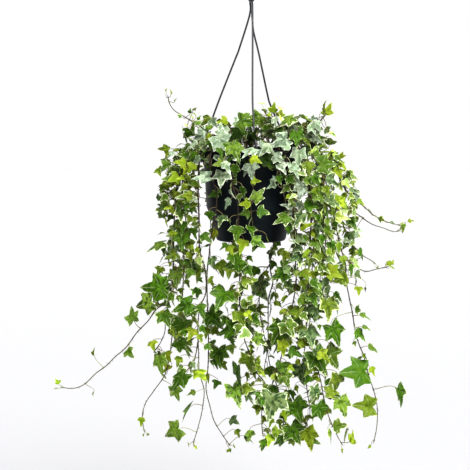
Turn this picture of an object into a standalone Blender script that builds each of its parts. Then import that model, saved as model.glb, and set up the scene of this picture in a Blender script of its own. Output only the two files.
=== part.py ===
"""Potted Eva English ivy: variegated ivy trailing from a dark plastic hanging pot.

Frame: metres, +Z up, the viewer's side is -Y. The origin is the bearing point of the hook, the
inside of the top of its bend. The tables of stems and leaves are in millimetres, read by eye
from the front: x and z in the plane of the pot's axis, y as depth (minus is towards the viewer).
"""
import math
import random

import bpy
import numpy as np
from mathutils import Vector
from mathutils.bvhtree import BVHTree
from mathutils.geometry import delaunay_2d_cdt

MM = 0.001
GAP = 0.3                    # clearance left between pieces that touch on the real plant, mm

# Pot, mm: heights are below the hook's bearing point
POT_SIDES = 32
RIM_TOP, RIM_RADIUS = -268.0, 80.0
RIM_DROP = 19.0              # height of the rolled rim's skirt
RIM_UNDER = RIM_TOP - 2.4    # underside of the rim's flat top
WALL = 1.8
BASE_Z = -405.0
POT_FOOT, POT_STEP, POT_SHOULDER, POT_NECK = 52.0, 58.0, 66.4, 71.6      # outer radii
STEP_Z, SHOULDER_Z = -376.0, -356.0
DRAIN_HOLES, DRAIN_RING, DRAIN_RADIUS = 5, 32.0, 4.0

# What leaves keep out of, (radius, z) from the base up: the pot with a margin
POT_KEEP_OUT = ((POT_FOOT + 0.6, BASE_Z - 0.6), (POT_STEP + 0.8, STEP_Z - 0.2),
                (POT_SHOULDER + 1, SHOULDER_Z + 0.2), (POT_NECK + 1, RIM_TOP - RIM_DROP - 1),
                (RIM_RADIUS + 1, RIM_TOP - RIM_DROP - 0.5), (RIM_RADIUS + 1, RIM_TOP + 0.6))

# Soil, mm
SOIL_RADIUS, SOIL_EDGE_Z = 68.9, -284.0
SOIL_CROWN, SOIL_TOP_Z = 62.0, -281.0
SOIL_GAP = 0.5               # between the soil and the pot's wall
HOLE_RADIUS, HOLE_FLOOR_Z = 2.3, -300.0

# Hanger, mm
HOOK_INSIDE, HOOK_WIRE = 12.0, 1.7
HUB_TOP, HUB_BOTTOM, HUB_RADIUS = -40.0, -52.0, 4.4
SOCKET_RING, SOCKET_RADIUS, SOCKET_DEPTH = 2.1, 1.35, 5.0
STRAND_RADIUS, STRAND_TOP_RADIUS, BARB_RADIUS = 1.35, 1.0, 2.3
CLIP_RING, CLIP_HOLE_RADIUS = 75.0, 1.9

# Each strand: the angle of its clip, from the viewer's side towards +X, and the points that it
# passes, seen from the front, from the hub down to the rim
STRANDS = {
    "strand_left": (-105, ((-2.2, -71), (-17.7, -121), (-23.5, -136), (-45, -190), (-57, -222),
                           (-67, -249))),
    "strand_front": (5, ((1.0, -71), (2, -93), (2, -190), (3, -217), (4, -235), (5.5, -252))),
    "strand_right": (130, ((1.9, -71), (2.8, -93), (9.5, -121), (12.9, -136), (24.5, -190),
                           (29, -205), (47, -246))),
}

# Stems, mm: where the stem stands in the soil (x, y), then the routes. A route's points are
# (x, z, y). The first route starts in the soil, and each other one branches off it.
SPRAYS = {
    "trail_far_left": ((-45, -12), (
        ((-90, -272, -25), (-108, -310, -34), (-114, -360, -32), (-116, -410, -28),
         (-117, -450, -25), (-119, -475, -22), (-124, -500, -20), (-129, -520, -20),
         (-130, -545, -18), (-137, -562, -15), (-146, -575, -12)),
        ((-124, -500, -20), (-142, -510, -30), (-155, -528, -38), (-173, -547, -45),
         (-188, -568, -50), (-205, -583, -55), (-219, -597, -60), (-235, -609, -64),
         (-253, -626, -66), (-270, -632, -66), (-290, -630, -64)))),
    "trail_left_long": ((-48, 8), (
        ((-92, -273, 12), (-102, -310, 24), (-104, -370, 32), (-101, -430, 38), (-102, -470, 40),
         (-104, -495, 40), (-110, -520, 40), (-119, -552, 38), (-122, -577, 36),
         (-130, -610, 32), (-148, -637, 28), (-160, -655, 24), (-165, -676, 20),
         (-162, -700, 18)),)),
    "trail_left_inner": ((-38, -30), (
        ((-74, -275, -57), (-79, -320, -62), (-78, -370, -60), (-77, -420, -55),
         (-69, -450, -50), (-68, -485, -48), (-77, -508, -50), (-80, -540, -50),
         (-79, -580, -48), (-78, -608, -44), (-71, -634, -38), (-73, -660, -36),
         (-77, -680, -36), (-83, -702, -36), (-88, -718, -36)),
        ((-80, -560, -49), (-83, -578, -56), (-87, -592, -60), (-95, -602, -62),
         (-99, -608, -64)))),
    "trail_left_front": ((-30, -42), (
        ((-60, -276, -75), (-60, -305, -76), (-52, -335, -72), (-53, -365, -68),
         (-60, -400, -60), (-63, -430, -42), (-66, -455, -28), (-66, -490, -14),
         (-65, -530, 0), (-64, -565, 10), (-65, -600, 15), (-68, -632, 15), (-62, -660, 14),
         (-56, -682, 12), (-45, -701, 10), (-31, -722, 8)),)),
    "trail_centre": ((-12, -50), (
        ((-24, -278, -88), (-29, -305, -84), (-27, -325, -80), (-20, -350, -78),
         (-19, -380, -70), (-19, -410, -62), (-17, -445, -55), (-17, -470, -50),
         (-17, -500, -46), (-13, -528, -42), (-11, -552, -40), (-4, -573, -38),
         (2, -592, -36), (10, -609, -34), (20, -622, -32), (23, -640, -30), (17, -665, -28),
         (17, -690, -26), (19, -708, -25)),)),
    "trail_centre_back": ((15, 40), (
        ((30, -278, 90), (34, -340, 86), (36, -395, 78), (31, -425, 66), (28, -442, 58),
         (20, -458, 50), (13, -488, 46), (13, -512, 44), (17, -535, 42), (22, -560, 40),
         (24, -578, 38), (21, -597, 36), (19, -615, 34)),
        ((28, -442, 58), (30, -456, 52), (33, -470, 46), (27, -492, 38), (26, -510, 34),
         (26, -530, 30), (26, -555, 26), (25, -570, 22), (28, -592, 18), (34, -612, 14),
         (41, -632, 10), (47, -652, 8), (50, -675, 6), (48, -700, 5)))),
    "trail_right_inner": ((30, -36), (
        ((50, -276, -76), (58, -310, -72), (62, -350, -68), (66, -395, -58), (67, -440, -48),
         (68, -468, -42), (65, -492, -38), (62, -512, -36), (60, -535, -34), (56, -560, -32),
         (47, -580, -30), (44, -592, -28), (38, -610, -26), (32, -625, -22)),)),
    "trail_right_front": ((42, -24), (
        ((76, -278, -54), (86, -320, -58), (90, -370, -54), (88, -420, -46), (86, -470, -40),
         (87, -505, -36), (84, -535, -33), (87, -560, -32), (96, -575, -34),
         (101, -600, -36), (107, -625, -38), (111, -648, -40), (118, -674, -42),
         (126, -693, -44), (134, -710, -45), (141, -721, -46)),)),
    "trail_right_back": ((44, 20), (
        ((82, -278, 42), (92, -330, 52), (95, -390, 54), (92, -450, 48), (90, -520, 40),
         (84, -555, 34), (80, -585, 30), (83, -617, 26), (87, -645, 24), (90, -668, 22),
         (86, -683, 20), (80, -694, 19)),)),
    "trail_far_right": ((50, -5), (
        ((92, -275, -8), (112, -320, -16), (124, -370, -18), (134, -415, -18),
         (142, -440, -18), (143, -465, -18), (148, -492, -18), (153, -515, -20),
         (157, -540, -22), (163, -563, -24), (171, -582, -26), (178, -610, -26),
         (187, -637, -24), (192, -660, -22), (192, -690, -18), (187, -718, -14)),
        ((117, -340, -17), (135, -354, -12), (158, -366, -6), (180, -381, 0), (200, -388, 4),
         (214, -393, 6), (225, -390, 7)),
        ((138, -428, -18), (147, -438, -10), (155, -444, -4), (172, -453, 2), (190, -449, 6),
         (202, -447, 8), (209, -445, 8)))),
    "tip_right": ((46, 8), (
        ((94, -264, 20), (112, -284, 36), (128, -305, 46), (140, -328, 50), (152, -342, 53),
         (170, -356, 54), (182, -367, 55), (200, -377, 56), (217, -382, 56),
         (226, -384, 56)),)),
    "edge_right": ((36, 12), (
        ((92, -268, 32), (110, -300, 38), (126, -345, 34), (137, -380, 28), (146, -402, 24),
         (156, -417, 20), (168, -429, 16), (180, -436, 14), (188, -442, 14)),)),
    "curtain_left": ((-42, -20), (
        ((-84, -270, -42), (-98, -300, -50), (-100, -330, -50), (-98, -370, -46),
         (-96, -410, -42), (-92, -440, -40)),)),
    "curtain_outer": ((-39, -2), (
        ((-92, -266, -6), (-108, -285, -10), (-120, -315, -10), (-126, -345, -8),
         (-125, -372, -5)),)),
    "curtain_front": ((12, -48), (
        ((30, -277, -88), (40, -300, -82), (46, -325, -76), (52, -350, -72),
         (55, -372, -68)),)),
    "curtain_middle": ((2, -46), (
        ((3, -276, -92), (6, -300, -86), (3, -330, -82), (0, -360, -78), (4, -390, -70),
         (6, -404, -66)),)),
    "curtain_right": ((40, -12), (
        ((86, -270, -32), (102, -300, -44), (112, -340, -48), (114, -385, -44),
         (110, -425, -40), (104, -465, -36), (108, -495, -34)),)),
    "shoot_left": ((-25, -15), (
        ((-70, -240, -28), (-88, -228, -34), (-103, -219, -36), (-114, -212, -36),
         (-121, -202, -36), (-124, -189, -36)),)),
    "shoot_right": ((28, -4), (
        ((70, -248, -10), (90, -236, -10), (104, -226, -10), (112, -217, -10)),)),
    "mound_front": ((-5, -35), (
        ((-10, -258, -52), (-16, -248, -62), (-26, -254, -76), (-34, -270, -88),
         (-42, -286, -94)),)),
    "mound_left": ((-28, 0), (
        ((-42, -260, -16), (-54, -249, -26), (-70, -250, -36), (-86, -262, -44)),)),
    "mound_top": ((0, -8), (
        ((3, -256, -14), (10, -240, -20), (21, -228, -26), (32, -216, -28)),)),
    "mound_right": ((22, -22), (
        ((32, -256, -34), (44, -244, -46), (58, -245, -56), (70, -256, -64)),)),
    "mound_centre": ((-14, 10), (
        ((-18, -256, 4), (-28, -240, -2), (-42, -232, -6), (-54, -236, -12)),)),
    "mound_back": ((5, 20), (
        ((8, -254, 32), (12, -242, 46), (14, -244, 64), (16, -262, 84), (18, -290, 94)),)),
    "back_left": ((-30, 32), (
        ((-58, -274, 70), (-66, -310, 78), (-62, -360, 76), (-60, -396, 70)),)),
    "back_centre": ((-8, 46), (
        ((-18, -276, 92), (-20, -320, 88), (-14, -370, 80), (-16, -396, 74)),)),
    "back_right": ((27, 45), (
        ((50, -276, 80), (54, -320, 84), (50, -370, 80), (48, -398, 74)),)),
    "back_far_left": ((-44, 26), (
        ((-82, -270, 50), (-98, -310, 68), (-104, -360, 74), (-103, -410, 72),
         (-98, -445, 68)),)),
    "back_far_right": ((46, 27), (
        ((78, -272, 66), (90, -310, 84), (102, -350, 92), (108, -400, 92), (106, -450, 86),
         (112, -490, 80)),)),
}

# Leaves that the front view shows, mm: x and z of the blade's middle, its length, the way its
# tip points (degrees, 0 to the right, 90 up), how it is turned (f facing the viewer, t tilted,
# s side on, u seen along its face) and its colour (s silver, t teal, g green with a cream
# edge, d deep green, l lime, o olive)
LEAVES = (
    # Mound above the rim
    (-45, -243, 22, 90, "fs"), (-45, -257, 34, -50, "fs"), (-25, -268, 36, -60, "fs"),
    (9, -255, 32, -80, "fs"), (-15, -232, 34, -10, "us"), (-20, -243, 30, -5, "us"),
    (-13, -226, 16, 0, "ud"), (-3, -231, 18, -80, "ts"), (14, -226, 20, -90, "fg"),
    (27, -216, 9, 60, "fl"), (33, -211, 18, 80, "tl"), (34, -227, 18, -60, "ts"),
    (42, -240, 24, -80, "fd"), (20, -237, 14, -40, "td"), (23, -272, 32, -20, "fs"),
    (-40, -228, 20, 200, "tl"), (-57, -228, 18, -60, "fs"), (-60, -246, 12, 200, "tl"),
    (-58, -259, 20, -90, "td"), (-74, -250, 24, 200, "fs"), (-85, -263, 24, 200, "fs"),
    # Upright shoot at the left
    (-119, -186, 9, 110, "sl"), (-126, -182, 6, 80, "tl"), (-113, -197, 8, 60, "sl"),
    (-91, -214, 9, 80, "td"), (-78, -224, 10, 60, "td"), (-79, -231, 15, 150, "fg"),
    (-87, -237, 19, 190, "fg"), (-106, -262, 13, 200, "ss"), (-118, -278, 20, 200, "ss"),
    (-104, -274, 10, 200, "td"), (-115, -286, 12, 220, "td"), (-91, -272, 10, 220, "tl"),
    # Right of the mound
    (78, -224, 26, 0, "ul"), (113, -213, 22, 70, "tl"), (67, -236, 26, 180, "ug"),
    (68, -250, 30, -90, "fd"), (91, -243, 18, 60, "ts"), (101, -253, 22, 5, "fg"),
    (85, -259, 14, 20, "sl"), (99, -267, 13, -20, "fg"), (110, -274, 28, 10, "ul"),
    (123, -273, 11, 20, "tl"), (128, -283, 20, -10, "tg"), (109, -292, 36, 0, "fs"),
    (53, -268, 18, 130, "ts"), (71, -278, 28, -100, "fs"), (86, -294, 24, -90, "to"),
    # Front of the pot
    (-43, -310, 30, -95, "fs"), (-70, -311, 30, 190, "fs"), (0, -297, 27, -90, "fs"),
    (4, -317, 17, 0, "fl"), (9, -340, 28, 45, "fg"), (-6, -350, 20, 180, "fl"),
    (-7, -364, 18, 200, "fg"), (15, -362, 22, -10, "fd"), (-44, -372, 25, -100, "ft"),
    (-32, -376, 10, -90, "tg"), (-21, -391, 27, -90, "fd"), (-2, -390, 24, -90, "fd"),
    (-40, -414, 17, -130, "td"), (-32, -418, 19, -60, "fl"), (-12, -411, 26, -110, "fl"),
    (-50, -284, 26, 0, "us"), (-20, -285, 30, 200, "us"), (4, -285, 20, -20, "fl"),
    (22, -286, 30, -40, "fs"), (43, -297, 22, -60, "fs"), (64, -298, 28, -60, "fs"),
    (75, -327, 32, -85, "fs"), (59, -340, 16, -70, "fl"), (57, -355, 20, 160, "ss"),
    (49, -372, 28, 215, "tg"), (73, -371, 28, -100, "ft"), (41, -313, 16, -60, "td"),
    (57, -314, 20, -30, "td"), (-62, -367, 20, -90, "td"), (-66, -402, 24, -60, "fd"),
    (-34, -348, 20, -130, "ss"), (-32, -335, 18, -90, "ss"), (-13, -331, 24, -100, "td"),
    (-22, -301, 26, -90, "td"), (-80, -285, 22, 200, "fs"), (8, -407, 26, -30, "fg"),
    # Left of the pot
    (-130, -351, 33, 215, "fg"), (-95, -340, 29, 190, "fg"), (-84, -344, 15, 200, "ts"),
    (-90, -357, 17, -100, "td"), (-115, -385, 12, 190, "tg"), (-100, -384, 26, -100, "fd"),
    (-88, -392, 24, -80, "td"), (-103, -403, 30, -95, "fd"), (-139, -413, 35, 197, "tg"),
    (-112, -418, 18, 190, "st"), (-118, -428, 22, 200, "to"), (-121, -441, 10, 240, "tl"),
    (-92, -428, 22, -70, "to"), (-97, -438, 16, -60, "td"), (-86, -447, 38, 5, "tt"),
    (-106, -447, 14, 190, "tl"), (-112, -460, 28, -90, "fg"), (-97, -461, 18, -70, "tg"),
    (-66, -414, 15, 180, "sd"), (-58, -437, 22, -60, "tt"), (-80, -420, 16, -60, "to"),
    # Below the pot, left
    (-116, -473, 15, -80, "to"), (-140, -478, 44, 182, "fd"), (-154, -500, 33, 215, "fg"),
    (-141, -503, 13, -10, "tg"), (-106, -481, 13, -80, "fo"), (-90, -494, 20, 0, "ug"),
    (-98, -505, 36, -160, "fd"), (-80, -483, 20, -110, "td"), (-178, -522, 30, 110, "fg"),
    (-130, -522, 32, -60, "fd"), (-120, -543, 21, -60, "fo"), (-103, -538, 38, -110, "fd"),
    (-88, -545, 23, -120, "fl"), (-79, -552, 15, -80, "to"), (-74, -540, 17, -40, "td"),
    (-106, -565, 34, -20, "fd"), (-149, -563, 18, -80, "fl"), (-138, -590, 34, -85, "fg"),
    (-87, -595, 14, -60, "tt"), (-106, -617, 40, -125, "td"), (-115, -636, 28, -70, "tg"),
    (-88, -638, 16, 210, "tg"), (-185, -576, 24, -40, "fg"), (-238, -578, 14, 80, "to"),
    (-293, -623, 11, 110, "tl"), (-239, -639, 9, -80, "so"), (-166, -681, 17, -100, "fl"),
    (-65, -612, 18, -85, "so"), (-95, -664, 34, -140, "sd"), (-116, -698, 33, 208, "tg"),
    # Below the pot, middle
    (-24, -438, 38, 215, "fd"), (-8, -440, 16, -60, "st"), (-5, -451, 22, -50, "td"),
    (-45, -445, 26, -85, "fo"), (-61, -466, 17, -40, "to"), (-42, -490, 44, -115, "fd"),
    (-53, -480, 18, -100, "td"), (-9, -468, 20, 0, "to"), (-22, -488, 16, -95, "so"),
    (-9, -503, 24, 10, "tg"), (8, -452, 22, -120, "fd"), (22, -456, 16, -60, "to"),
    (13, -476, 42, -60, "ft"), (7, -506, 11, -60, "to"), (30, -506, 24, -85, "sd"),
    (37, -490, 13, -40, "to"), (-57, -522, 38, -50, "fd"), (-17, -521, 28, -70, "fo"),
    (-5, -518, 18, -60, "tl"), (4, -522, 16, 70, "sd"), (-36, -511, 15, -70, "st"),
    (-31, -543, 38, 180, "fd"), (-30, -557, 26, -90, "td"), (-17, -571, 11, -30, "st"),
    (-48, -579, 37, -85, "td"), (-19, -607, 37, -95, "td"), (-1, -590, 33, -95, "to"),
    (9, -598, 20, -40, "to"), (-5, -611, 18, -100, "so"), (11, -556, 28, -30, "tg"),
    (29, -552, 17, -60, "to"), (11, -568, 13, -110, "so"), (-3, -534, 15, -130, "sd"),
    (-24, -638, 43, -70, "fg"), (-7, -633, 23, 0, "fo"), (-27, -681, 18, -35, "tt"),
    (-5, -707, 22, -30, "sd"), (28, -605, 25, -60, "fg"), (45, -600, 25, 40, "fd"),
    (51, -615, 30, -60, "fg"), (36, -616, 17, -80, "to"), (22, -629, 13, -60, "to"),
    (33, -656, 46, -110, "ft"), (19, -643, 27, -100, "fd"), (11, -662, 19, -100, "fo"),
    (21, -680, 15, -120, "to"), (52, -671, 19, -80, "fl"), (44, -684, 17, -90, "to"),
    (38, -699, 24, 0, "fo"), (30, -709, 24, -110, "fl"), (20, -717, 20, -110, "fd"),
    (51, -709, 34, -100, "td"), (51, -646, 17, -40, "tl"),
    # Below the pot, right
    (50, -440, 23, 0, "fd"), (47, -457, 28, 200, "fd"), (40, -463, 13, -90, "to"),
    (58, -480, 29, -8, "sg"), (72, -417, 21, 200, "ft"), (70, -429, 24, 215, "ft"),
    (83, -426, 20, -60, "to"), (96, -409, 25, -60, "fg"), (103, -427, 28, -20, "fo"),
    (106, -402, 20, -90, "td"), (108, -445, 24, -45, "tg"), (122, -455, 29, -30, "fl"),
    (80, -455, 24, -60, "fo"), (90, -457, 17, -40, "tl"), (80, -470, 21, -80, "to"),
    (113, -467, 22, -70, "tt"), (116, -481, 26, -60, "tt"), (98, -478, 27, -60, "fg"),
    (78, -495, 27, -30, "fg"), (115, -506, 38, -85, "fo"), (97, -511, 29, -85, "ft"),
    (128, -503, 25, -65, "st"), (88, -438, 20, -80, "to"), (107, -415, 18, -70, "tg"),
    (66, -516, 28, 180, "to"), (79, -521, 20, -50, "tg"), (76, -541, 23, -90, "fo"),
    (88, -547, 37, -80, "ft"), (103, -537, 12, -80, "tg"), (95, -521, 14, -80, "td"),
    (44, -543, 40, -120, "fd"), (56, -538, 30, -60, "fg"), (37, -531, 15, 120, "to"),
    (50, -524, 15, 90, "td"), (46, -567, 28, -60, "tl"), (53, -556, 24, -20, "tl"),
    (126, -544, 40, -68, "td"), (121, -566, 20, -70, "st"), (77, -562, 24, -10, "tl"),
    (64, -575, 27, -30, "fd"), (59, -581, 15, 180, "tg"), (101, -586, 46, -65, "td"),
    (119, -582, 40, -50, "fg"), (72, -591, 17, -60, "tl"), (85, -593, 15, -60, "tl"),
    (77, -606, 37, -80, "ft"), (99, -561, 15, -80, "tg"), (132, -619, 35, -88, "to"),
    (138, -656, 35, -80, "tg"), (121, -638, 29, 0, "fo"), (95, -637, 31, -80, "tt"),
    (104, -664, 29, -70, "sd"), (97, -664, 18, -15, "to"), (132, -690, 27, 0, "fg"),
    (121, -703, 26, -80, "to"), (144, -700, 25, -100, "sg"), (87, -704, 38, -75, "fl"),
    (68, -662, 39, -60, "fd"), (65, -698, 38, -65, "td"), (69, -632, 15, -60, "tl"),
    (63, -712, 20, -60, "to"), (94, -714, 22, -20, "tg"), (153, -710, 24, 60, "fl"),
    # Right of the pot
    (57, -388, 16, -90, "td"), (116, -314, 27, -50, "tt"), (113, -330, 21, -60, "to"),
    (100, -338, 30, -50, "tg"), (119, -347, 34, -20, "ft"), (89, -350, 27, 0, "td"),
    (141, -343, 15, 60, "fl"), (131, -353, 28, -10, "tl"), (136, -364, 27, 0, "ul"),
    (151, -377, 27, -60, "fd"), (162, -347, 17, -40, "to"), (75, -353, 20, -90, "ts"),
    (88, -366, 17, -90, "tg"), (80, -387, 25, 0, "ul"), (138, -392, 15, -90, "tl"),
    (150, -399, 23, -60, "tt"), (147, -412, 17, -150, "fo"), (144, -401, 15, -50, "sd"),
    (154, -415, 23, -65, "sd"), (164, -424, 23, -45, "sd"), (100, -386, 20, -80, "fo"),
    (112, -379, 20, -60, "tg"), (119, -393, 18, -70, "to"), (126, -381, 18, -60, "td"),
    (95, -395, 22, -60, "tl"), (131, -414, 20, -90, "to"), (122, -412, 19, -60, "td"),
    (110, -361, 20, -60, "td"), (95, -313, 22, -50, "td"), (103, -304, 20, -70, "to"),
    (114, -306, 16, -40, "ts"), (100, -372, 20, -80, "td"), (84, -404, 14, -100, "to"),
    (72, -404, 20, -20, "tt"),
    # Long thin shoots at the right
    (141, -325, 10, -50, "ft"), (151, -330, 18, -15, "tt"), (177, -361, 11, -40, "st"),
    (187, -370, 7, -30, "st"), (194, -374, 14, -20, "to"), (211, -379, 12, -30, "st"),
    (228, -386, 18, -70, "tg"), (238, -377, 11, 10, "tl"), (208, -440, 13, -60, "tl"),
    # Long stem at the right
    (150, -446, 23, -85, "sd"), (156, -457, 18, -60, "tt"), (139, -463, 27, 200, "fo"),
    (158, -467, 15, -60, "sd"), (162, -480, 17, -90, "fl"), (168, -482, 9, -80, "sd"),
    (132, -475, 13, -20, "so"), (160, -511, 17, -20, "fg"), (169, -521, 22, -35, "sg"),
    (173, -538, 18, -30, "sg"), (163, -547, 25, -40, "fd"), (157, -562, 11, -70, "tg"),
    (182, -569, 22, -12, "sg"), (171, -582, 13, -40, "to"), (163, -602, 47, 185, "fd"),
    (182, -603, 17, -60, "tl"), (177, -660, 37, 165, "fo"), (225, -640, 37, -65, "sd"),
)

# Crowded places: how many leaves, the box they fill in the front view (x, z), the lengths, the
# ways their tips point and their turns and colours to draw from
CROWDS = (
    (24, (-130, -86), (-350, -282), (14, 22), (165, 275), "fftts", "lllg"),
    (22, (-88, 104), (-286, -226), (18, 31), (190, 350), "ffftu", "sssstd"),
    (10, (-126, -84), (-424, -346), (16, 27), (180, 290), "fftt", "ddgo"),
    (12, (84, 152), (-440, -298), (17, 27), (250, 350), "fftt", "ggdotl"),
    (10, (40, 132), (-650, -440), (16, 27), (235, 335), "fftts", "dogtd"),
    (8, (-128, -56), (-570, -430), (16, 26), (215, 310), "fftts", "dogd"),
    (8, (-40, 40), (-560, -400), (16, 24), (215, 325), "fftts", "dogd"),
)
CROWD_SEED = 11

# Leaves at the sides and the back, placed by rule along the stems
FILL_SEED, FILL_STEP, FILL_TRIES, FILL_SIZE = 23, 8, 6, (22, 36)
SOIL_LEAVES = 24
HIDDEN_SHARE = 0.86          # how much of such a leaf other leaves or the pot hide from the front

# The viewer's eye, mm: a table's x and z are where the sight line crosses the pot's axis plane
SIGHT = np.array([-24.0, -2000.0, -190.0])

# Half outlines of a leaf in lengths of the leaf, from the tip round to the notch at the stalk,
# which is the blade's origin
FIVE_LOBES = ((0, 0.80), (0.21, 0.37), (0.53, 0.33), (0.37, 0.04), (0.40, -0.25))
THREE_LOBES = ((0, 0.84), (0.19, 0.30), (0.52, 0.10))
ONE_LOBE = ((0, 0.82), (0.38, 0.04))
LARGE_LEAF, SMALL_LEAF = 27.5, 14.5       # which lengths get five lobes, and which only one
BLADE_THICK, STALK_HALF, STALK_DEEP = 1.4, 0.75, 1.4
BLADE_MIDDLE = 0.22                       # from the notch to the blade's middle, in lengths
SHORTEST_STALK, NOTCH_BACK = 8.0, 0.05
FOOT_RADIUS, FOOT_SPACE = 0.6, 3.2        # a stalk's foot, and the room it needs on its stem
LEAN = 9.0                                # how far a leaf's notch lies in front of its stem
SHIFTS = (0, -6, 6, -12, 12, -19, 19, -27, 27, -36, 36, -46)     # depths to try in turn
LEAF_ROOM = 0.45                          # how much thicker a leaf is when its place is tried
NO_PLACE = 1e6                            # the cost of a site that is taken

STEM_RADIUS, TIP_RADIUS = 1.5, 1.2
CURVE_STEP, CURVE_SLACK = 6.0, 1.9
CREST_RADIUS = 69.0                       # where a stem that hangs over the rim is highest
SITE_STEP, END_SPACE = 3.0, 3.0           # between a stem's sites, and from its bends, mm

COLOURS = {"pot": ("26282C", 0.42), "soil": ("3A2C20", 0.95), "hanger": ("1E1F22", 0.45),
           "leaves": ("7C9A5C", 0.5)}


def clear_scene():
    """Take out whatever the file opened with."""
    for thing in list(bpy.data.objects):
        bpy.data.objects.remove(thing, do_unlink=True)


def unit(vector):
    """The vector at length one."""
    return vector / np.linalg.norm(vector)


def seen_at(x, z, y):
    """The point at depth y that a viewer at SIGHT sees at (x, z) in the pot's axis plane."""
    grow = 1 + y / -SIGHT[1]
    return SIGHT + (np.array([x, 0.0, z]) - SIGHT) * grow


def seen_from(points):
    """Where the sight lines to points cross the pot's axis plane: rows of x and z."""
    points = np.atleast_2d(points)
    grow = 1 + points[:, 1] / -SIGHT[1]
    return (SIGHT + (points - SIGHT) / grow[:, None])[:, ::2]


def smooth_route(points, step):
    """Points about a step apart on a Catmull-Rom curve through a route's own points."""
    points = np.asarray(points, float)
    ends = np.vstack([2 * points[0] - points[1], points, 2 * points[-1] - points[-2]])
    runs = []
    for before, start, stop, after in zip(ends, ends[1:], ends[2:], ends[3:]):
        count = max(1, round(float(np.linalg.norm(stop - start)) / step))
        t = (np.arange(count) / count)[:, None]
        runs.append(0.5 * (2 * start + (stop - before) * t
                           + (2 * before - 5 * start + 4 * stop - after) * t ** 2
                           + (3 * start - before - 3 * stop + after) * t ** 3))
    runs.append(points[-1:])
    return np.vstack(runs)


def thinned(points, slack):
    """The fewest of a line's points that keep it within slack of where it ran."""
    first, last = points[0], points[-1]
    if len(points) < 3:
        return points
    along = unit(last - first)
    away = points - first
    off = np.linalg.norm(away - np.outer(away @ along, along), axis=1)
    worst = int(off.argmax())
    if off[worst] <= slack:
        return np.array([first, last])
    return np.vstack([thinned(points[:worst + 1], slack)[:-1], thinned(points[worst:], slack)])


def turned(vectors, old, new):
    """Vectors after the smallest turn that takes direction old to direction new."""
    axis = np.cross(old, new)
    cosine = float(old @ new)
    vectors = np.asarray(vectors)
    return (vectors * cosine + np.cross(axis, vectors)
            + np.multiply.outer(vectors @ axis, axis) / max(1e-6, 1 + cosine))


def tube_rings(points, radii, sides):
    """Rings of corners round a line of points, without twist: an array (points, sides, 3)."""
    heads = np.gradient(points, axis=0)
    heads /= np.linalg.norm(heads, axis=1)[:, None]
    across = unit(np.cross(heads[0], (0.31, 0.95, 0.05)))
    turn = np.arange(sides) * 2 * math.pi / sides
    rings = []
    for index, (point, head) in enumerate(zip(points, heads)):
        if index:
            across = turned(across, heads[index - 1], head)
        up = np.cross(head, across)
        circle = np.outer(np.cos(turn), across) + np.outer(np.sin(turn), up)
        rings.append(point + radii[index] * circle)
    return np.array(rings)


def tube(points, radii, sides):
    """A closed tube round a line of points: its corners and its triangles."""
    points = np.asarray(points, float)
    rings = tube_rings(points, radii, sides)
    faces = []
    for ring in range(len(points) - 1):
        for side in range(sides):
            a = ring * sides + side
            b = ring * sides + (side + 1) % sides
            faces += [(a, b, b + sides), (a, b + sides, a + sides)]
    last = (len(points) - 1) * sides
    for side in range(1, sides - 1):
        faces.append((0, side + 1, side))
        faces.append((last, last + side, last + side + 1))
    return rings.reshape(-1, 3), faces


def leaf_turn(heading, turn, x, draw):
    """The normal and the tip direction of a leaf from the way the front view shows it."""
    angle = math.radians(heading)
    tip = np.array([math.cos(angle), 0.0, math.sin(angle)])
    if turn in "st":
        square = np.array([-tip[2], 0.0, tip[0]])
        if square[2] < 0 or (abs(square[2]) < 0.2 and square[0] * x < 0):
            square = -square
        open_angle = math.radians((20 if turn == "s" else 50) + draw.uniform(-6, 8))
        normal = square * math.cos(open_angle) - np.array([0, math.sin(open_angle), 0])
    else:
        lift = math.radians((24 if turn == "f" else 66) + draw.uniform(-9, 9))
        yaw = math.radians(max(-22, min(22, 0.16 * x)) + draw.uniform(-14, 14))
        normal = np.array([math.sin(yaw) * math.cos(lift), -math.cos(yaw) * math.cos(lift),
                           math.sin(lift)])
    tip[1] = -(tip[0] * normal[0] + tip[2] * normal[2]) / normal[1]
    return unit(normal), unit(tip)


def leaf_outline(size):
    """The half outline that a leaf of this length has."""
    if size >= LARGE_LEAF:
        return FIVE_LOBES
    return THREE_LOBES if size >= SMALL_LEAF else ONE_LOBE


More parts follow.
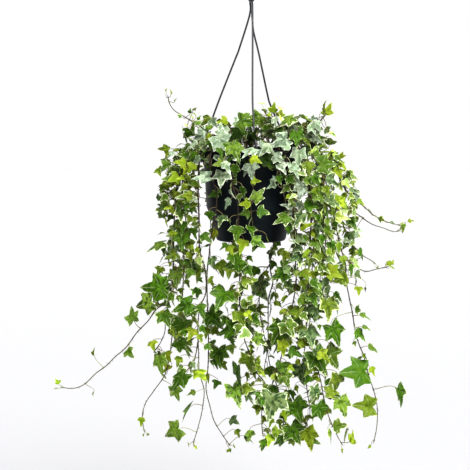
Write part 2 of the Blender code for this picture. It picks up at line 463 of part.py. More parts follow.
def leaf_body(leaf, grow=0.0):
    """A leaf that is open only at its stalk's foot: its corners, triangles, and blade triangles.

    The blade fans out above from its heart and below from the keel at its stalk, over a lobed
    outline that arches down. The stalk is a three-sided bar from the notch back to the stem,
    and its foot's three corners come last. grow thickens the leaf, mm.
    """
    tip, normal, size, notch = leaf["tip"], leaf["normal"], leaf["size"], leaf["notch"]
    side = np.cross(tip, normal)
    half = leaf_outline(size)
    spread = size * leaf["width"]
    stalk_half = STALK_HALF + grow
    flat = ([(-a * spread, b * size) for a, b in half]
            + [(-stalk_half, -NOTCH_BACK * size), (stalk_half, -NOTCH_BACK * size)]
            + [(a * spread, b * size) for a, b in half[:0:-1]])
    flat = np.array(flat)
    if grow:
        flat += grow * 1.5 * flat / np.maximum(1e-6, np.linalg.norm(flat, axis=1))[:, None]
    arch = -leaf["arch"] * (0.5 * (flat[:, 0]) ** 2 + 0.36 * (flat[:, 1]) ** 2) / size
    rim = (notch + np.outer(flat[:, 0], side) + np.outer(flat[:, 1], tip)
           + np.outer(arch, normal))
    heart = notch + 0.11 * size * tip + (0.5 * BLADE_THICK + grow) * normal
    start = notch - NOTCH_BACK * size * tip
    keel = start - (STALK_DEEP + grow) * normal
    corners = [*rim, heart, keel]
    count, left, right = len(rim), len(half), len(half) + 1
    top, under = count, count + 1
    blade = [(top, a, (a + 1) % count) for a in range(count)]
    blade += [(under, (a + 1) % count, a) for a in range(count) if a != left]
    faces = []
    loop, head = (left, right, under), -tip
    section = np.array([rim[left], rim[right], keel]) - start
    points = [start, *leaf["stalk"]]
    for index in range(1, len(points)):
        last = index + 1 == len(points)
        along = unit(points[index] - points[index - 1])
        if last:
            along = -leaf["facet"]
        else:
            along = unit(along + unit(points[index + 1] - points[index]))
        section = turned(section, head, along)
        if last:
            section = section - section.mean(axis=0)
            section *= (FOOT_RADIUS + grow) / np.linalg.norm(section, axis=1)[:, None]
        head = along
        fresh = (len(corners), len(corners) + 1, len(corners) + 2)
        corners += [points[index] + corner for corner in section]
        for a, b in ((1, 0), (0, 2), (2, 1)):
            faces += [(loop[a], loop[b], fresh[b]), (loop[a], fresh[b], fresh[a])]
        loop = fresh
    return np.array(corners), blade + faces, blade


class Stem:
    """A three-sided stem along a line, whose facets open where stalks and branches spring."""

    def __init__(self, line, radii, foot=None):
        self.line, self.radii = line, radii
        self.rings = tube_rings(line, radii, 3)
        self.foot = foot
        if foot is not None:
            self.rings[0] = foot
        self.openings = {}
        self.find_sites()

    def find_sites(self):
        """Every place where a stalk may spring, on each facet a few millimetres apart."""
        spots, facets, keys = [], [], []
        for ring in range(len(self.line) - 1):
            length = float(np.linalg.norm(self.line[ring + 1] - self.line[ring]))
            count = int((length - 2 * END_SPACE) // SITE_STEP)
            for side in range(3):
                a, b = self.rings[ring][side], self.rings[ring][(side + 1) % 3]
                c, d = self.rings[ring + 1][(side + 1) % 3], self.rings[ring + 1][side]
                facet = unit(np.cross(c - a, d - b))
                for step in range(count + 1):
                    share = (END_SPACE + SITE_STEP * step) / length
                    spot = ((a + b) * (1 - share) + (c + d) * share) / 2
                    buried = (HOLE_FLOOR_Z < spot[2] < SOIL_TOP_Z + 6
                              and math.hypot(spot[0], spot[1]) < SOIL_RADIUS)
                    if not buried:
                        spots.append(spot)
                        facets.append(facet)
                        keys.append((ring, side, share * length))
        self.spots, self.facets = np.array(spots), np.array(facets)
        self.keys, self.free = keys, np.ones(len(keys), bool)

    def suit(self, notch, tip, reach):
        """The free site that suits a leaf best: its cost and its number."""
        away = notch - self.spots
        length = np.linalg.norm(away, axis=1)
        facing = (away * self.facets).sum(axis=1) / np.maximum(length, 1e-6)
        against = away @ tip / np.maximum(length, 1e-6)
        cost = (np.abs(length - reach) + 14 * np.maximum(0, 0.3 - against)
                + 12 * np.maximum(0, 0.6 - facing) + np.where(facing < 0.25, NO_PLACE, 0))
        cost = np.where(self.free, cost, NO_PLACE)
        best = int(cost.argmin())
        return float(cost[best]), best

    def open_site(self, number, owner):
        """Open the facet at a site for an owner's foot, and close the sites beside it."""
        ring, side, along = self.keys[number]
        self.openings.setdefault((ring, side), []).append(owner)
        for other, (its_ring, its_side, its_along) in enumerate(self.keys):
            if (its_ring, its_side) == (ring, side) and abs(its_along - along) < FOOT_SPACE:
                self.free[other] = False

    def faces(self, corners, base, feet):
        """The stem's triangles: its corners start at base, and feet has each owner's foot."""
        faces = []
        for ring in range(len(self.line) - 1):
            for side in range(3):
                a, b = base + ring * 3 + side, base + ring * 3 + (side + 1) % 3
                owners = self.openings.get((ring, side), [])
                if not owners:
                    faces += [(a, b, b + 3), (a, b + 3, a + 3)]
                    continue
                loops = [(a, b, b + 3, a + 3)] + [feet[owner] for owner in owners]
                faces += self.facet_faces(ring, side, corners, loops)
        if self.foot is None:
            faces.append((base, base + 2, base + 1))
        last = base + (len(self.line) - 1) * 3
        faces.append((last, last + 1, last + 2))
        return faces

    def facet_faces(self, ring, side, corners, loops):
        """Triangles between a facet's outline and the openings in it."""
        a, b = self.rings[ring][side], self.rings[ring][(side + 1) % 3]
        c, d = self.rings[ring + 1][(side + 1) % 3], self.rings[ring + 1][side]
        along = unit((c + d) - (a + b))
        across = unit(np.cross(along, np.cross(c - a, d - b)))
        numbers = [number for loop in loops for number in loop]
        places = [Vector(((corners[number] - a) @ across, (corners[number] - a) @ along))
                  for number in numbers]
        edges, start = [], 0
        for loop in loops:
            edges += [(start + k, start + (k + 1) % len(loop)) for k in range(len(loop))]
            start += len(loop)
        _, _, found, names, _, _ = delaunay_2d_cdt(places, edges, [], 0, 1e-7)
        holes = [set(loop) for loop in loops[1:]]
        triangles = []
        for face in found:
            triangle = tuple(numbers[names[index][0]] for index in face)
            if set(triangle) not in holes:
                triangles.append(triangle)
        return triangles


class Spray:
    """One leafy stem with its branches and leaves, joined corner to corner into one body."""

    def __init__(self, name, lines):
        self.name = name
        self.stems = [Stem(lines[0], np.linspace(STEM_RADIUS, TIP_RADIUS, len(lines[0])))]
        self.leaves = []
        for number, line in enumerate(lines[1:]):
            main = self.stems[0]
            away = np.linalg.norm(main.spots - line[0], axis=1)
            ahead = unit(line[2] - line[0])
            cost = away + 8 * np.maximum(0, 0.5 - main.facets @ ahead)
            site = int(np.where(main.free, cost, NO_PLACE).argmin())
            main.open_site(site, ("branch", number + 1))
            facet = main.facets[site]
            line = np.vstack([main.spots[site], line[1:]])
            radii = np.linspace(0.5 * (STEM_RADIUS + TIP_RADIUS), TIP_RADIUS, len(line))
            ring = tube_rings(line, radii, 3)[0] - line[0]
            foot = turned(ring, unit(line[1] - line[0]), facet)
            foot *= 1.15 * FOOT_RADIUS / np.linalg.norm(foot, axis=1)[:, None]
            self.stems.append(Stem(line, radii, main.spots[site] + foot))

    def body(self):
        """All corners and triangles of the spray."""
        corners, faces, feet = [], [], {}
        count = 0
        for number, leaf in enumerate(self.leaves):
            points, triangles, _ = leaf_body(leaf)
            faces += [tuple(count + index for index in face) for face in triangles]
            corners.append(points)
            count += len(points)
            feet[("leaf", number)] = (count - 3, count - 2, count - 1)
        bases = []
        for number, stem in enumerate(self.stems):
            bases.append(count)
            corners.append(stem.rings.reshape(-1, 3))
            if number:
                feet[("branch", number)] = (count, count + 2, count + 1)
            count += 3 * len(stem.line)
        corners = np.vstack(corners)
        for stem, base in zip(self.stems, bases):
            faces += stem.faces(corners, base, feet)
        return corners, faces


def grow_sprays():
    """Every spray with its bare stems, by name."""
    sprays = {}
    for number, (name, ((foot_x, foot_y), routes)) in enumerate(SPRAYS.items()):
        first = [seen_at(*point) for point in routes[0]]
        rise = RIM_TOP + 10 + 5 * (number % 3)
        outward = first[0] - (foot_x, foot_y, first[0][2])
        start = [np.array([foot_x, foot_y, SOIL_TOP_Z + 4])]
        if first[0][2] < RIM_TOP + 12:
            inner, outer = math.hypot(foot_x, foot_y), math.hypot(first[0][0], first[0][1])
            share = min(0.62, max(0.3, (CREST_RADIUS - inner) / (outer - inner)))
            crest = np.array([foot_x, foot_y, 0]) + share * outward
            start.append(np.array([crest[0], crest[1], rise]))
        lines = [start + first]
        lines += [[seen_at(*point) for point in route] for route in routes[1:]]
        lines = [thinned(smooth_route(line, CURVE_STEP), CURVE_SLACK) for line in lines]
        lines[0] = np.vstack([(foot_x, foot_y, HOLE_FLOOR_Z + GAP), lines[0]])
        sprays[name] = Spray(name, lines)
    return sprays


def lathe(profile, sides):
    """Corners and faces of a (radius, z) profile turned round Z, with a flat face at each end."""
    turn = np.arange(sides) * 2 * math.pi / sides
    rings = [np.column_stack([radius * np.cos(turn), radius * np.sin(turn), np.full(sides, z)])
             for radius, z in profile]
    faces = [list(range(sides))[::-1]]
    for ring in range(len(profile) - 1):
        for step in range(sides):
            a, b = ring * sides + step, ring * sides + (step + 1) % sides
            faces.append([a, b, b + sides, a + sides])
    faces.append([(len(profile) - 1) * sides + step for step in range(sides)])
    return np.vstack(rings), faces


def pot_profile():
    """The pot's outside from the middle of its base, over the rim and down its inside, mm."""
    outside = [(POT_FOOT - 1.5, BASE_Z), (POT_FOOT, BASE_Z + 2), (POT_STEP, STEP_Z),
               (POT_SHOULDER, SHOULDER_Z), (POT_NECK, RIM_UNDER)]
    skirt = [(RIM_RADIUS - WALL, RIM_UNDER), (RIM_RADIUS - WALL, RIM_TOP - RIM_DROP),
             (RIM_RADIUS, RIM_TOP - RIM_DROP), (RIM_RADIUS, RIM_TOP - 1.2),
             (RIM_RADIUS - 1.2, RIM_TOP), (POT_NECK - 1, RIM_TOP), (POT_NECK - WALL, RIM_UNDER)]
    inside = [(POT_SHOULDER - WALL, SHOULDER_Z + 0.6), (POT_STEP - WALL, STEP_Z + 0.6),
              (POT_FOOT - WALL, BASE_Z + WALL)]
    return outside + skirt + inside


def soil_profile():
    """The soil: the pot's inside less the gap, up to a low crown, mm."""
    inset = WALL + SOIL_GAP
    return [(POT_FOOT - inset, BASE_Z + WALL + GAP), (POT_STEP - inset, STEP_Z + 0.8),
            (POT_SHOULDER - inset, SHOULDER_Z + 0.7), (SOIL_RADIUS, SOIL_EDGE_Z),
            (SOIL_CROWN, SOIL_TOP_Z)]


def hub_profile():
    """The small round hub that the strands hang from, mm."""
    return [(HUB_RADIUS - 0.7, HUB_BOTTOM), (HUB_RADIUS, HUB_BOTTOM + 2),
            (HUB_RADIUS, HUB_TOP - 3.5), (HUB_RADIUS - 2.2, HUB_TOP)]


def hook_line():
    """The hook's wire: up from the hub, round the bend and down to its free end, mm."""
    middle = HOOK_INSIDE + HOOK_WIRE
    points = [(0, 0, HUB_TOP - 3), (0, 0, HUB_TOP + 4), (4, 0, HUB_TOP + 10),
              (middle - 1.5, 0, HUB_TOP + 19)]
    for angle in range(0, 181, 22):
        turn = math.radians(angle)
        points.append((middle * math.cos(turn), 0, -HOOK_INSIDE + middle * math.sin(turn)))
    points.append((-middle - 0.6, 0, -HOOK_INSIDE - 6))
    return smooth_route(points, 40.0)


def clip_spot(angle):
    """Where a strand goes through the rim, x and y in mm."""
    turn = math.radians(angle)
    return CLIP_RING * math.sin(turn), -CLIP_RING * math.cos(turn)


def socket_spot(angle):
    """Where a strand enters the hub, x and y in mm."""
    turn = math.radians(angle)
    return SOCKET_RING * math.sin(turn), -SOCKET_RING * math.cos(turn)


def strand_body(angle, route):
    """One strand: a tapered bar from the hub's socket to the barb under the rim, mm."""
    top_x, top_y = socket_spot(angle)
    clip_x, clip_y = clip_spot(angle)
    seat = HUB_BOTTOM + SOCKET_DEPTH - GAP
    under = RIM_UNDER - GAP
    points = [(top_x, top_y, seat), (top_x, top_y, HUB_BOTTOM - 1)]
    for x, z in route:
        down = (z - HUB_BOTTOM) / (RIM_TOP - HUB_BOTTOM)
        points.append(seen_at(x, z, top_y + (clip_y - top_y) * down))
    points += [(clip_x, clip_y, z) for z in (RIM_TOP + 3, RIM_TOP - 1, under, under - 0.4,
                                             under - 5)]
    radii = [STRAND_TOP_RADIUS, STRAND_TOP_RADIUS] + [STRAND_RADIUS] * (len(route) + 2)
    return tube(points, radii + [STRAND_RADIUS, BARB_RADIUS, 0.8], 6)


def boxes_apart(one, other):
    """True where two boxes, each a low and a high corner, don't meet."""
    return bool(((one[0] > other[1]) | (other[0] > one[1])).any())


class Garden:
    """What has been placed so far, for finding a free place for the next leaf."""

    def __init__(self, sprays):
        self.things = []
        self.add("pot", *lathe(POT_KEEP_OUT, POT_SIDES), "pot")
        for name, (angle, route) in STRANDS.items():
            self.add(name, *strand_body(angle, route), "strand")
        for name, spray in sprays.items():
            for stem in spray.stems:
                self.add(name, *tube(stem.line, stem.radii + 0.4, 4), "stem")

    def add(self, owner, corners, faces, kind):
        """Note a body with its owner's name and its kind: pot, strand, stem or leaf."""
        tree = BVHTree.FromPolygons(corners.tolist(), faces)
        self.things.append((owner, kind, (corners.min(axis=0), corners.max(axis=0)), tree))

    def blocked(self, owner, corners, faces, blade):
        """Whether a leaf meets anything else, or its blade its own stem."""
        box = (corners.min(axis=0), corners.max(axis=0))
        corners = corners.tolist()
        whole_tree = BVHTree.FromPolygons(corners, faces)
        blade_tree = BVHTree.FromPolygons(corners, blade)
        for other, kind, other_box, tree in self.things:
            if boxes_apart(box, other_box):
                continue
            mine = blade_tree if other == owner and kind == "stem" else whole_tree
            if mine.overlap(tree):
                return True
        return False


def in_the_pot(corners):
    """Whether any corner lies in the pot, in its rim or in the soil."""
    z = corners[:, 2]
    radii, heights = np.transpose(POT_KEEP_OUT)
    keep = np.interp(z, heights, radii)
    reach = np.hypot(corners[:, 0], corners[:, 1])
    return bool(((z > heights[0]) & (z < heights[-1]) & (reach < keep)).any())


def front_spray(sprays, x, z, heading):
    """The spray whose stem passes nearest behind a leaf's notch in the front view."""
    angle = math.radians(heading)
    ahead = np.array([math.cos(angle), math.sin(angle)])
    notch = np.array([x, z]) - 4 * ahead
    best, choice = 1e9, None
    for name, spray in sprays.items():
        if name.startswith("back"):
            continue
        for stem in spray.stems:
            away = notch - seen_from(stem.spots)
            cost = (np.linalg.norm(away, axis=1) + 0.1 * stem.spots[:, 1]
                    + np.where(away @ ahead < 0, 6, 0))
            spot = int(cost.argmin())
            if cost[spot] < best:
                best, choice = float(cost[spot]), (name, stem.spots[spot][1])
    return choice


def hang_leaf(garden, spray, leaf, reach):
    """Hang a leaf on the stem site that suits it, unless something is in the way."""
    notch, tip, normal, size = leaf["notch"], leaf["tip"], leaf["normal"], leaf["size"]
    offers = [(*stem.suit(notch, tip, reach), stem) for stem in spray.stems]
    cost, site, stem = min(offers, key=lambda offer: offer[0])
    if cost >= NO_PLACE:
        return False
    spot = stem.spots[site]
    leaf["facet"] = stem.facets[site]
    start = notch - NOTCH_BACK * size * tip
    away = spot - start
    length = float(np.linalg.norm(away))
    if length < 4:
        return False
    leaf["stalk"] = [spot]
    if float(away @ -tip) < 0.1 * length:
        leaf["stalk"] = [start - tip * min(0.4 * length, 7.0) - normal * 2.0, spot]
    corners, faces, blade = leaf_body(leaf, LEAF_ROOM)
    if in_the_pot(corners) or garden.blocked(spray.name, corners, faces, blade):
        return False
    garden.add(spray.name, *leaf_body(leaf)[:2], "leaf")
    stem.open_site(site, ("leaf", len(spray.leaves)))
    spray.leaves.append(leaf)
    return True


def hang_seen(garden, sprays, row, draw):
    """Hang one leaf of the front view, and give it, or None where every place is blocked."""
    x, z, size, heading, look = row
    name, depth = front_spray(sprays, x, z, heading)
    width, arch = draw.uniform(0.9, 1.12), draw.uniform(0.25, 0.9)
    tries = [(leaf_turn(heading + draw.uniform(-8, 8) * k, look[0], x, draw),
              draw.uniform(-1.5, 1.5) * k, draw.uniform(-1.5, 1.5) * k) for k in range(4)]
    lean = -LEAN if depth < 30 else draw.choice((-LEAN, LEAN))
    for shift in SHIFTS:
        for (normal, tip), right, up in tries:
            notch = seen_at(x + right, z + up, depth + lean + shift) - BLADE_MIDDLE * size * tip
            leaf = {"notch": notch, "tip": tip, "normal": normal, "size": size,
                    "width": width, "arch": arch, "tone": look[1]}
            if hang_leaf(garden, sprays[name], leaf, SHORTEST_STALK + 0.2 * size):
                return leaf
    return None


class Veil:
    """Which places of the front view are covered, and how near to the viewer, on a grid."""

    LEFT, LOW, CELL, WIDE, HIGH = -320.0, -740.0, 2.0, 300, 280

    def __init__(self):
        rows, columns = np.mgrid[0:self.HIGH, 0:self.WIDE]
        self.x = self.LEFT + (columns + 0.5) * self.CELL
        self.z = self.LOW + (rows + 0.5) * self.CELL
        radii, heights = np.transpose(POT_KEEP_OUT)
        pot = np.abs(self.x) < np.interp(self.z, heights, radii, left=0, right=0)
        self.depth = np.where(pot, -POT_FOOT, 1e6)

    def cover(self, corners, faces):
        """Cover the cells inside each triangle with the body's mean depth."""
        seen = seen_from(corners)
        depth = float(corners[:, 1].mean())
        low = ((seen.min(axis=0) - (self.LEFT, self.LOW)) / self.CELL).astype(int)
        high = ((seen.max(axis=0) - (self.LEFT, self.LOW)) / self.CELL).astype(int) + 1
        window = (slice(max(low[1], 0), high[1] + 1), slice(max(low[0], 0), high[0] + 1))
        x, z = self.x[window], self.z[window]
        inside = np.zeros(x.shape, bool)
        for face in faces:
            a, b, c = seen[list(face)]
            sign = np.array([(q[0] - p[0]) * (z - p[1]) - (q[1] - p[1]) * (x - p[0])
                             for p, q in ((a, b), (b, c), (c, a))])
            inside |= (sign >= 0).all(axis=0) | (sign <= 0).all(axis=0)
        self.depth[window] = np.where(inside, np.minimum(self.depth[window], depth),
                                      self.depth[window])

    def hides(self, corners):
        """The share of the corners that lie behind what covers them."""
        cells = ((seen_from(corners) - (self.LEFT, self.LOW)) / self.CELL).astype(int)
        columns, rows = np.clip(cells, 0, (self.WIDE - 1, self.HIGH - 1)).T
        return float((self.depth[rows, columns] < corners[:, 1] - 1).mean())


def side_leaf(spot, draw):
    """A leaf for the sides and the back: facing out and up, near a place on a stem."""
    away = math.atan2(spot[1] + 8, spot[0])
    angle = away + math.radians(draw.uniform(-80, 80))
    if spot[2] < BASE_Z - 25:
        angle = math.radians(draw.uniform(20, 160))
    out = np.array([math.cos(angle), math.sin(angle), 0.0])
    above = spot[2] > RIM_TOP and math.hypot(spot[0], spot[1]) < RIM_RADIUS
    lift = math.radians(draw.uniform(45, 80) if above else draw.uniform(10, 48))
    normal = unit(out * math.cos(lift) + np.array([0, 0, math.sin(lift)]))
    level = np.cross((0, 0, 1.0), out)
    steep = unit(np.cross(normal, level))
    roll = math.radians(draw.uniform(-50, 50))
    tip = unit(level * math.sin(roll) - steep * math.cos(roll) * np.sign(steep[2]))
    return {"notch": spot + out * draw.uniform(9, 20) + np.array([0, 0, draw.uniform(-8, 4)]),
            "tip": tip, "normal": normal, "size": draw.uniform(*FILL_SIZE),
            "width": draw.uniform(0.9, 1.12), "arch": draw.uniform(0.25, 0.9),
            "tone": draw.choice("ssgggddtol")}


def hang_hidden(garden, veil, sprays, draw):
    """Hang leaves at the sides and the back, wherever the front view doesn't show them."""
    for name, spray in sprays.items():
        stride = FILL_STEP if name.startswith(("back", "mound")) else 3 * FILL_STEP
        for stem in spray.stems:
            for spot in stem.spots[::stride]:
                for _ in range(FILL_TRIES):
                    leaf = side_leaf(spot, draw)
                    leaf["stalk"], leaf["facet"] = [spot], leaf["tip"]
                    hidden = veil.hides(leaf_body(leaf)[0]) > HIDDEN_SHARE
                    if hidden and hang_leaf(garden, spray, leaf, SHORTEST_STALK + 5):
                        break


def hang_over_soil(garden, sprays, draw):
    """Hang leaves over the soil, on whichever stems pass there."""
    places = [(spray, spot) for spray in sprays.values() for stem in spray.stems
              for spot in stem.spots
              if spot[2] > RIM_TOP - 6 and math.hypot(spot[0], spot[1]) < SOIL_RADIUS - 6]
    for spray, spot in draw.sample(places, SOIL_LEAVES):
        for _ in range(FILL_TRIES):
            if hang_leaf(garden, spray, side_leaf(spot, draw), SHORTEST_STALK + 5):
                break


def crowd_rows(draw):
    """Rows like those of LEAVES, drawn at random for the crowded places."""
    rows = []
    for count, (left, right), (low, high), sizes, headings, turns, tones in CROWDS:
        for index in range(count):
            z = high - (high - low) * (index + 0.5) / count
            rows.append((draw.uniform(left, right), z, draw.uniform(*sizes),
                         draw.uniform(*headings), draw.choice(turns) + draw.choice(tones)))
    return rows


def hang_leaves(sprays):
    """Hang every leaf on the sprays."""
    garden, veil = Garden(sprays), Veil()
    draw = random.Random(CROWD_SEED)
    for row in sorted(LEAVES, key=lambda row: -row[2]) + crowd_rows(draw):
        leaf = hang_seen(garden, sprays, row, draw)
        if leaf:
            corners, _, blade = leaf_body(leaf)
            veil.cover(corners, blade)
    draw = random.Random(FILL_SEED)
    hang_over_soil(garden, sprays, draw)
    hang_hidden(garden, veil, sprays, draw)


def new_material(name, colour, roughness):
    """A plain finish from an sRGB hex colour."""
    material = bpy.data.materials.new(name)
    material.use_nodes = True
    shader = material.node_tree.nodes["Principled BSDF"]
    channels = [int(colour[i:i + 2], 16) / 255 for i in (0, 2, 4)]
    linear = [c / 12.92 if c <= 0.04045 else ((c + 0.055) / 1.055) ** 2.4 for c in channels]
    shader.inputs["Base Color"].default_value = (*linear, 1)
    shader.inputs["Roughness"].default_value = roughness
    shader.inputs["Metallic"].default_value = 0.0
    return material


def new_piece(name, corners, faces, material, collection=None):
    """An object from corners in mm and faces, in the scene or in a collection."""
    mesh = bpy.data.meshes.new(name)
    mesh.from_pydata([tuple(corner) for corner in np.asarray(corners) * MM], [],
                     [tuple(int(i) for i in face) for face in faces])
    mesh.materials.append(material)
    piece = bpy.data.objects.new(name, mesh)
    (collection or bpy.context.collection).objects.link(piece)
    return piece


def apply_boolean(piece, operation, collection, solver):
    """Join a collection's objects to a piece, or cut them from it, and remove them."""
    modifier = piece.modifiers.new("join", "BOOLEAN")
    modifier.operand_type = "COLLECTION"
    modifier.operation = operation
    modifier.solver = solver
    modifier.collection = collection
    depsgraph = bpy.context.evaluated_depsgraph_get()
    mesh = bpy.data.meshes.new_from_object(piece.evaluated_get(depsgraph))
    piece.modifiers.clear()
    piece.data = mesh
    for thing in list(collection.objects):
        bpy.data.objects.remove(thing, do_unlink=True)
    bpy.data.collections.remove(collection)


def new_collection(name):
    """An empty collection in the scene."""
    collection = bpy.data.collections.new(name)
    bpy.context.scene.collection.children.link(collection)
    return collection


def shade_round(piece, degrees):
    """Smooth shading with sharp edges past an angle."""
    piece.data.shade_smooth()
    piece.data.set_sharp_from_angle(angle=math.radians(degrees))


def upright_bar(x, y, low, high, radius, sides):
    """A straight closed bar along Z, mm."""
    corners, faces = lathe([(radius, low), (radius, high)], sides)
    return corners + (x, y, 0), faces


def make_pot(material):
    """The turned pot, with its drain holes and the strands' holes through the rim."""
    pot = new_piece("pot", *lathe(pot_profile(), POT_SIDES), material)
    cutters = new_collection("pot_cutters")
    for index in range(DRAIN_HOLES):
        turn = 2 * math.pi * (index + 0.5) / DRAIN_HOLES
        bar = upright_bar(DRAIN_RING * math.cos(turn), DRAIN_RING * math.sin(turn),
                          BASE_Z - 3, BASE_Z + WALL + 3, DRAIN_RADIUS, 8)
        new_piece("drain", *bar, material, cutters)
    for angle, _ in STRANDS.values():
        x, y = clip_spot(angle)
        new_piece("clip", *upright_bar(x, y, RIM_TOP - 5, RIM_TOP + 3, CLIP_HOLE_RADIUS, 8),
                  material, cutters)
    apply_boolean(pot, "DIFFERENCE", cutters, "EXACT")
    shade_round(pot, 35)


def make_soil(material):
    """The soil, with a hole for each stem."""
    soil = new_piece("soil", *lathe(soil_profile(), POT_SIDES), material)
    cutters = new_collection("soil_cutters")
    for (x, y), _ in SPRAYS.values():
        new_piece("hole", *upright_bar(x, y, HOLE_FLOOR_Z, SOIL_TOP_Z + 10, HOLE_RADIUS, 5),
                  material, cutters)
    apply_boolean(soil, "DIFFERENCE", cutters, "EXACT")
    shade_round(soil, 35)


def make_hanger(material):
    """The hook with its hub, and the three strands."""
    line = hook_line()
    hook = new_piece("hook", *tube(line, [HOOK_WIRE] * len(line), 6), material)
    parts = new_collection("hub_parts")
    new_piece("hub", *lathe(hub_profile(), 12), material, parts)
    apply_boolean(hook, "UNION", parts, "EXACT")
    cutters = new_collection("hub_cutters")
    for angle, _ in STRANDS.values():
        x, y = socket_spot(angle)
        bar = upright_bar(x, y, HUB_BOTTOM - 2, HUB_BOTTOM + SOCKET_DEPTH, SOCKET_RADIUS, 6)
        new_piece("socket", *bar, material, cutters)
    apply_boolean(hook, "DIFFERENCE", cutters, "EXACT")
    shade_round(hook, 40)
    for name, (angle, route) in STRANDS.items():
        strand = new_piece(name, *strand_body(angle, route), material)
        shade_round(strand, 50)


def make_sprays(material):
    """Each leafy stem as one body."""
    sprays = grow_sprays()
    hang_leaves(sprays)
    for name, spray in sprays.items():
        new_piece(name, *spray.body(), material)


def main():
    clear_scene()
    finish = {name: new_material(name, *look) for name, look in COLOURS.items()}
    make_pot(finish["pot"])
    make_soil(finish["soil"])
    make_hanger(finish["hanger"])
    make_sprays(finish["leaves"])


main()
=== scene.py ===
"""Potted Eva English ivy, dressed: a dark plastic hanging pot with variegated ivy trailing from it.

The sizes and the tables of stems and leaves are in millimetres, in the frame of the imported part:
+Z up, the viewer's side is -Y, and the origin is the bearing point of the hook. The leaves grow
by the same rules as the part's own solids, so each finer leaf stands where its solid does.
"""

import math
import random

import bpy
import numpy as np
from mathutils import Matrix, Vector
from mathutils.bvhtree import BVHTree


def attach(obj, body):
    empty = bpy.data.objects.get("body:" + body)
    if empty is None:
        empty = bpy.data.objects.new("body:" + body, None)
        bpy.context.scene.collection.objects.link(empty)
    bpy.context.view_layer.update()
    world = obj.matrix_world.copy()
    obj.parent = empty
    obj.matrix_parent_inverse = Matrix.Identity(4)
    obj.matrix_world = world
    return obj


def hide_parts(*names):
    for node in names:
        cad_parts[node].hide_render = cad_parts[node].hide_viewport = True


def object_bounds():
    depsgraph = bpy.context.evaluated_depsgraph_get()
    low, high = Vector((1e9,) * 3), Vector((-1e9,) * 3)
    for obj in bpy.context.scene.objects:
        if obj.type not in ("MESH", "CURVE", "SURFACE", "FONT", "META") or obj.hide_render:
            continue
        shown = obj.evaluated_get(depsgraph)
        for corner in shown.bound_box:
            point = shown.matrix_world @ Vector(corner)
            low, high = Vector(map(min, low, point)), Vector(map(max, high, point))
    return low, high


bl_info = {
    "name": "Potted Ivy",
    "version": (1, 0, 0),
    "blender": (4, 5, 0),
    "location": "3D View > Sidebar > Ivy",
    "description": "Makes a variegated ivy in a hanging pot around its packed model",
    "category": "Object",
}

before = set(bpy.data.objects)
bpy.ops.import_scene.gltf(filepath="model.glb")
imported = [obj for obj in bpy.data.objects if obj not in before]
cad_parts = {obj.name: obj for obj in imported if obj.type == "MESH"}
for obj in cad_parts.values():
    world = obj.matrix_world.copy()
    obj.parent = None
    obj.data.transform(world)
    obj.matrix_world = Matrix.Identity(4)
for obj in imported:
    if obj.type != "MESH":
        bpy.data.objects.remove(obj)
CAD_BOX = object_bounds()

MM = 0.001
GAP = 0.3  # clearance left between pieces that touch on the real plant, mm

# Pot, mm: heights are below the hook's bearing point
RIM_TOP, RIM_RADIUS = -268.0, 80.0
RIM_DROP = 19.0  # height of the rolled rim's skirt
RIM_UNDER = RIM_TOP - 2.4  # underside of the rim's flat top
WALL = 1.8
BASE_Z = -405.0
POT_FOOT, POT_STEP, POT_SHOULDER, POT_NECK = 52.0, 58.0, 66.4, 71.6  # outer radii
STEP_Z, SHOULDER_Z = -376.0, -356.0
DRAIN_HOLES, DRAIN_RING, DRAIN_RADIUS = 5, 32.0, 4.0

# What leaves keep out of, (radius, z) from the base up: the pot with a margin
POT_SIDES = 32
POT_KEEP_OUT = ((POT_FOOT + 0.6, BASE_Z - 0.6), (POT_STEP + 0.8, STEP_Z - 0.2),
                (POT_SHOULDER + 1, SHOULDER_Z + 0.2), (POT_NECK + 1, RIM_TOP - RIM_DROP - 1),
                (RIM_RADIUS + 1, RIM_TOP - RIM_DROP - 0.5), (RIM_RADIUS + 1, RIM_TOP + 0.6))

# Soil, mm
SOIL_RADIUS, SOIL_EDGE_Z = 68.9, -284.0
SOIL_CROWN, SOIL_TOP_Z = 62.0, -281.0
SOIL_GAP = 0.5  # between the soil and the pot's wall
HOLE_FLOOR_Z = -300.0  # floor of the hole that a stem stands in

# Hanger, mm
HOOK_INSIDE, HOOK_WIRE = 12.0, 1.7
HUB_TOP, HUB_BOTTOM, HUB_RADIUS = -40.0, -52.0, 4.4
SOCKET_RING, SOCKET_DEPTH = 2.1, 5.0
STRAND_RADIUS, STRAND_TOP_RADIUS, BARB_RADIUS = 1.35, 1.0, 2.3
CLIP_RING, CLIP_HOLE_RADIUS = 75.0, 1.9

# Each strand: the angle of its clip, from the viewer's side towards +X, and the points that it
# passes, seen from the front, from the hub down to the rim
STRANDS = {
    "strand_left": (-105, ((-2.2, -71), (-17.7, -121), (-23.5, -136), (-45, -190), (-57, -222),
                           (-67, -249))),
    "strand_front": (5, ((1.0, -71), (2, -93), (2, -190), (3, -217), (4, -235), (5.5, -252))),
    "strand_right": (130, ((1.9, -71), (2.8, -93), (9.5, -121), (12.9, -136), (24.5, -190),
                           (29, -205), (47, -246))),
}

